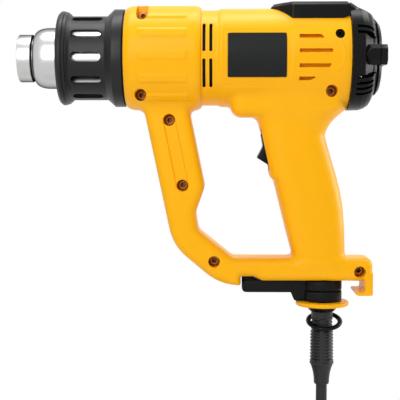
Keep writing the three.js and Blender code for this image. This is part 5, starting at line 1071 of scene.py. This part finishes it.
# Turned pieces round the post: hub, yellow ring and gland with its lug
post = dict(hub=[(6, -77.2, 0), (13.6, -77.2, 0.8), (13.6, -69.9, 0.8), (8.2, -69.9, 0), (8.2, -59.2, 0),
                 (12.4, -59.2, 0), (12.4, -57.0, 0.4), (6, -57.0, 0), (6, -77.2, 0)],
            ring=[(6, -80.6, 0), (18.5, -80.6, 1.1), (18.5, -77.5, 1.1), (6, -77.5, 0), (6, -80.6, 0)],
            gland=[(6, -84.7, 0), (8.5, -84.7, 0.5), (11.5, -80.9, 0.5), (6, -80.9, 0), (6, -84.7, 0)],
            clampAt=9.9, clampHole=(1.8, -60, -50), neckRoom=(7.7, -112, -84.7), lugX=13.1, lug=(10.43, -88.2, 3.7),
            lugHalf=2, lugRound=0.5, stem=(6.5, 2.9, -80.95), eyeHole=(2.1, -4, 4),
            ringR=11.0, wireR=1.75, wireThick=1.45, ringZ=-92, tilt=20, ringSteps=96, wireSteps=21)


def makePost(look):
    hub = turned("hub", softCorners(look["hub"], False, 4), "z", postLine, 96)
    for side in (-1, 1):
        combine(hub, rod("clampHole", *look["clampHole"], "z", (postX + side * look["clampAt"], 0, 0), 24))
    settle(hub, "standHub", "body", "black_satin", ["stand_hub"])
    ring = turned("ring", softCorners(look["ring"], False, 5), "z", postLine, 96)
    settle(ring, "retainingRing", "body", "yellow_housing", ["retaining_ring"])
    gland = turned("gland", softCorners(look["gland"], False, 4), "z", postLine, 96)
    (y, z, r), x, half, soft = look["lug"], look["lugX"], look["lugHalf"], look["lugRound"]
    disc = softCorners([(0, -half, 0), (r, -half, soft), (r, half, soft), (0, half, 0)], False, 3)
    eye = turned("eye", disc, "x", (x, y, z), 48)
    start, reach, top = look["stem"]
    combine(eye, block("stem", (x - half, x + half), (start, y + reach), (z, top)), "UNION")
    combine(eye, rod("neckRoom", *look["neckRoom"], "z", postLine, 72))
    combine(gland, eye, "UNION")
    combine(gland, rod("eyeHole", *look["eyeHole"], "x", (x, y, z), 40))
    settle(gland, "gland", "body", "black_gloss", ["gland_collar"])


makePost(post)


# Hanging ring: a small circle carried round a big one, tilted about X
def makeHangingRing(look):
    big = np.linspace(0, 2 * np.pi, look["ringSteps"], endpoint=False)[:, None]
    small = np.linspace(0, 2 * np.pi, look["wireSteps"])[None]
    reach = look["ringR"] + look["wireR"] * np.cos(small)
    x, y, z = reach * np.cos(big), reach * np.sin(big), look["wireThick"] * np.sin(small) + 0 * big
    turn = np.radians(look["tilt"])
    points = np.stack([look["lugX"] + x, y * np.cos(turn) - z * np.sin(turn),
                       look["ringZ"] + y * np.sin(turn) + z * np.cos(turn)], -1)
    piece = solidOf("hangingRing", points.reshape(-1, 3), gridFaces(look["ringSteps"], look["wireSteps"]))
    settle(piece, "hangingRing", "ring", "black_gloss", ["hanging_ring"], 60)


makeHangingRing(post)

# Cord sleeve: the radius follows the height, with fine ribs that fade out along a smooth band at the front and back
sleeve = dict(pitch=2.25, depth=0.95, ribs=(-120.7, -89.5), ribEnd=0.5, ribPower=0.6, ribRows=10,
              ribSpan=(-124, -88), taperRows=(-136, -121, 30), band=13, bandSoft=3, bandDepth=0.7, turns=144,
              radius=[(-51.3, 5.4), (-51.8, 5.6), (-84.8, 5.6), (-85, 7.5), (-97, 7.5), (-100, 8.1), (-118.5, 8.25),
                      (-121.1, 8.45), (-121.6, 8.45), (-122.4, 7.9), (-125, 6.9), (-128.5, 6.0), (-132.4, 5.45),
                      (-135.6, 5.35), (-136.4, 5.0)])


# A groove is a raised cosine of the height to a power, taken from the radius
def makeSleeve(look):
    rows = np.array(look["radius"])[::-1]
    fine = np.arange(*look["ribSpan"], look["pitch"] / look["ribRows"])
    height = np.unique(np.concatenate([rows[:, 0], fine, np.linspace(*look["taperRows"])]))
    turn = np.linspace(0, 2 * np.pi, look["turns"], endpoint=False)[:, None]
    radius = np.interp(height, rows[:, 0], rows[:, 1])[None]
    inRibs = window(height, *look["ribs"], look["ribEnd"])[None]
    wave = 0.5 - 0.5 * np.cos(2 * np.pi * (height[None] - look["ribs"][0]) / look["pitch"])
    groove = look["depth"] * (1 - wave ** look["ribPower"]) * inRibs
    fromFront = np.degrees(np.abs(np.arcsin(np.cos(turn))))  # 0 in the middle of the front and back
    ribbed = np.clip((fromFront - look["band"]) / look["bandSoft"], 0, 1)
    radius = radius - groove * ribbed - look["bandDepth"] * (1 - ribbed) * inRibs
    points = np.stack([postX + radius * np.cos(turn), radius * np.sin(turn), height[None] + 0 * turn], -1)
    closed = np.concatenate([np.zeros_like(points[:, :1]), points, np.zeros_like(points[:, :1])], 1)
    closed[:, 0] = (postX, 0, height[0])
    closed[:, -1] = (postX, 0, height[-1])
    piece = solidOf("cordSleeve", closed.reshape(-1, 3), gridFaces(look["turns"], closed.shape[1]))
    settle(piece, "cordSleeve", "body", "black_rubber", ["cord_sleeve"], 40)


makeSleeve(sleeve)
print("stand, post, ring and sleeve made")

# CAD nodes that stay get the finish of their material slot
carried = dict(heater_sleeve="insulator", heater_core="insulator", heater_coil="heater_wire",
               temperature_probe="bright_steel", heater_flange="light_metal", fan_duct="black_satin",
               fan="black_satin", motor="light_metal", motor_shaft="bright_steel", motor_mount_front="black_satin",
               motor_mount_rear="black_satin", control_board="board", heat_sink="light_metal",
               capacitor="black_gloss", potentiometer="grey_plastic", potentiometer_shaft="bright_steel",
               switch_module="grey_plastic", cord_clamp="black_satin", clamp_screw_front="bright_steel",
               clamp_screw_rear="bright_steel", terminal_block="grey_plastic")
for node, slotName in carried.items():
    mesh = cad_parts[node].data
    mesh.materials.clear()
    mesh.materials.append(finishes[slotName])
print("inner pieces painted:", len(carried))


# Is the ray one that looks, reflects or passes through
def seenRay(nodes, links):
    path = nodes.new("ShaderNodeLightPath")
    seen = path.outputs["Is Camera Ray"]
    for kind in ("Is Glossy Ray", "Is Transmission Ray"):
        seen = mathStep(nodes, links, "MAXIMUM", seen, path.outputs[kind])
    return seen


# Two shaders mixed by a share, on to the output node
def mixInto(nodes, links, share, first, second, output):
    mix = nodes.new("ShaderNodeMixShader")
    for socket, source in zip(mix.inputs, (share, first.outputs[0], second.outputs[0])):
        links.new(source, socket)
    links.new(mix.outputs[0], nodes[output].inputs["Surface"])


# Floor: pale and shadowed near the tool, fading to the white backdrop for camera and reflection rays
ground = dict(z=-200.05, reach=3000, rows=41, pale=0.82, spread=0.01, cloud=40, rough=0.9, specular=0.1,
              centre=(-110, -60), fade=(150, 240))


# The grid's lines lie further apart away from the middle, by the square of their number
def makeGround(look):
    line = np.linspace(-1, 1, look["rows"])
    bent = look["reach"] * np.sign(line) * line ** 2
    x, y = np.meshgrid(bent, bent, indexing="ij")
    points = np.stack([x, y, 0 * x + look["z"]], -1).reshape(-1, 3)
    floor = solidOf("floor", points, gridFaces(look["rows"], look["rows"], False))
    material = bpy.data.materials.new("paleFloor")
    material.use_nodes = True
    nodes, links = material.node_tree.nodes, material.node_tree.links
    shader = nodes["Principled BSDF"]
    shader.inputs["Roughness"].default_value = look["rough"]
    shader.inputs["Specular IOR Level"].default_value = look["specular"]
    place = nodes.new("ShaderNodeTexCoord").outputs["Object"]
    cloud = noiseOf(nodes, links, place, look["cloud"])
    tint = stretched(nodes, links, cloud, look["pale"] - look["spread"], look["pale"] + look["spread"])
    links.new(tint, shader.inputs["Base Color"])
    away = nodes.new("ShaderNodeVectorMath")
    away.operation = "DISTANCE"
    away.inputs[1].default_value = Vector((*look["centre"], look["z"])) * mm
    links.new(place, away.inputs[0])
    fade = nodes.new("ShaderNodeMapRange")
    fade.interpolation_type = "SMOOTHSTEP"
    fade.inputs["From Min"].default_value = look["fade"][0] * mm
    fade.inputs["From Max"].default_value = look["fade"][1] * mm
    links.new(away.outputs["Value"], fade.inputs["Value"])
    share = mathStep(nodes, links, "MULTIPLY", fade.outputs["Result"], seenRay(nodes, links))
    white = nodes.new("ShaderNodeEmission")
    white.inputs["Strength"].default_value = 1
    mixInto(nodes, links, share, shader, white, "Material Output")
    floor.data.materials.append(material)


makeGround(ground)

# World: white where it is seen, softer where it lights
world = dict(ambient=0.31)


def makeWorld(look):
    sky = bpy.data.worlds.new("studio")
    sky.use_nodes = True
    scene.world = sky
    nodes, links = sky.node_tree.nodes, sky.node_tree.links
    soft, white = nodes["Background"], nodes.new("ShaderNodeBackground")
    for light, strength in ((soft, look["ambient"]), (white, 1)):
        light.inputs["Color"].default_value = (1, 1, 1, 1)
        light.inputs["Strength"].default_value = strength
    mixInto(nodes, links, seenRay(nodes, links), soft, white, "World Output")


makeWorld(world)

# Lamps: two above, a tall one at the front left, one beyond the cap, and two fills that aren't mirrored
lamps = [dict(name="topLamp", at=(-150, 60, 770), aim=(-110, 0, 90), size=(0.6, 0.26), power=3.4),
         dict(name="cornerLamp", at=(310, 210, 690), aim=(20, 0, 100), size=(0.36, 0.36), power=2.1),
         dict(name="frontLamp", at=(-350, -880, 390), aim=(-80, 0, 60), size=(0.34, 0.7), power=3.9),
         dict(name="sideLamp", at=(620, 190, 118), aim=(40, 0, 92), size=(0.38, 0.34), power=2.4),
         dict(name="rearLamp", at=(60, 860, 200), aim=(-50, 0, 40), size=(0.7, 0.5), power=3.0, mirrored=False),
         dict(name="fillLamp", at=(-60, -650, 600), aim=(-60, 0, 30), size=(0.5, 0.5), power=2.0, mirrored=False)]
for lamp in lamps:
    data = bpy.data.lights.new(lamp["name"], "AREA")
    data.shape = "RECTANGLE"
    data.size, data.size_y = lamp["size"]
    data.energy = lamp["power"]
    light = bpy.data.objects.new(lamp["name"], data)
    light.location = Vector(lamp["at"]) * mm
    light.rotation_euler = (Vector(lamp["aim"]) - Vector(lamp["at"])).to_track_quat("-Z", "Y").to_euler()
    light.visible_glossy = lamp.get("mirrored", True)
    scene.collection.objects.link(light)
print("stage made")
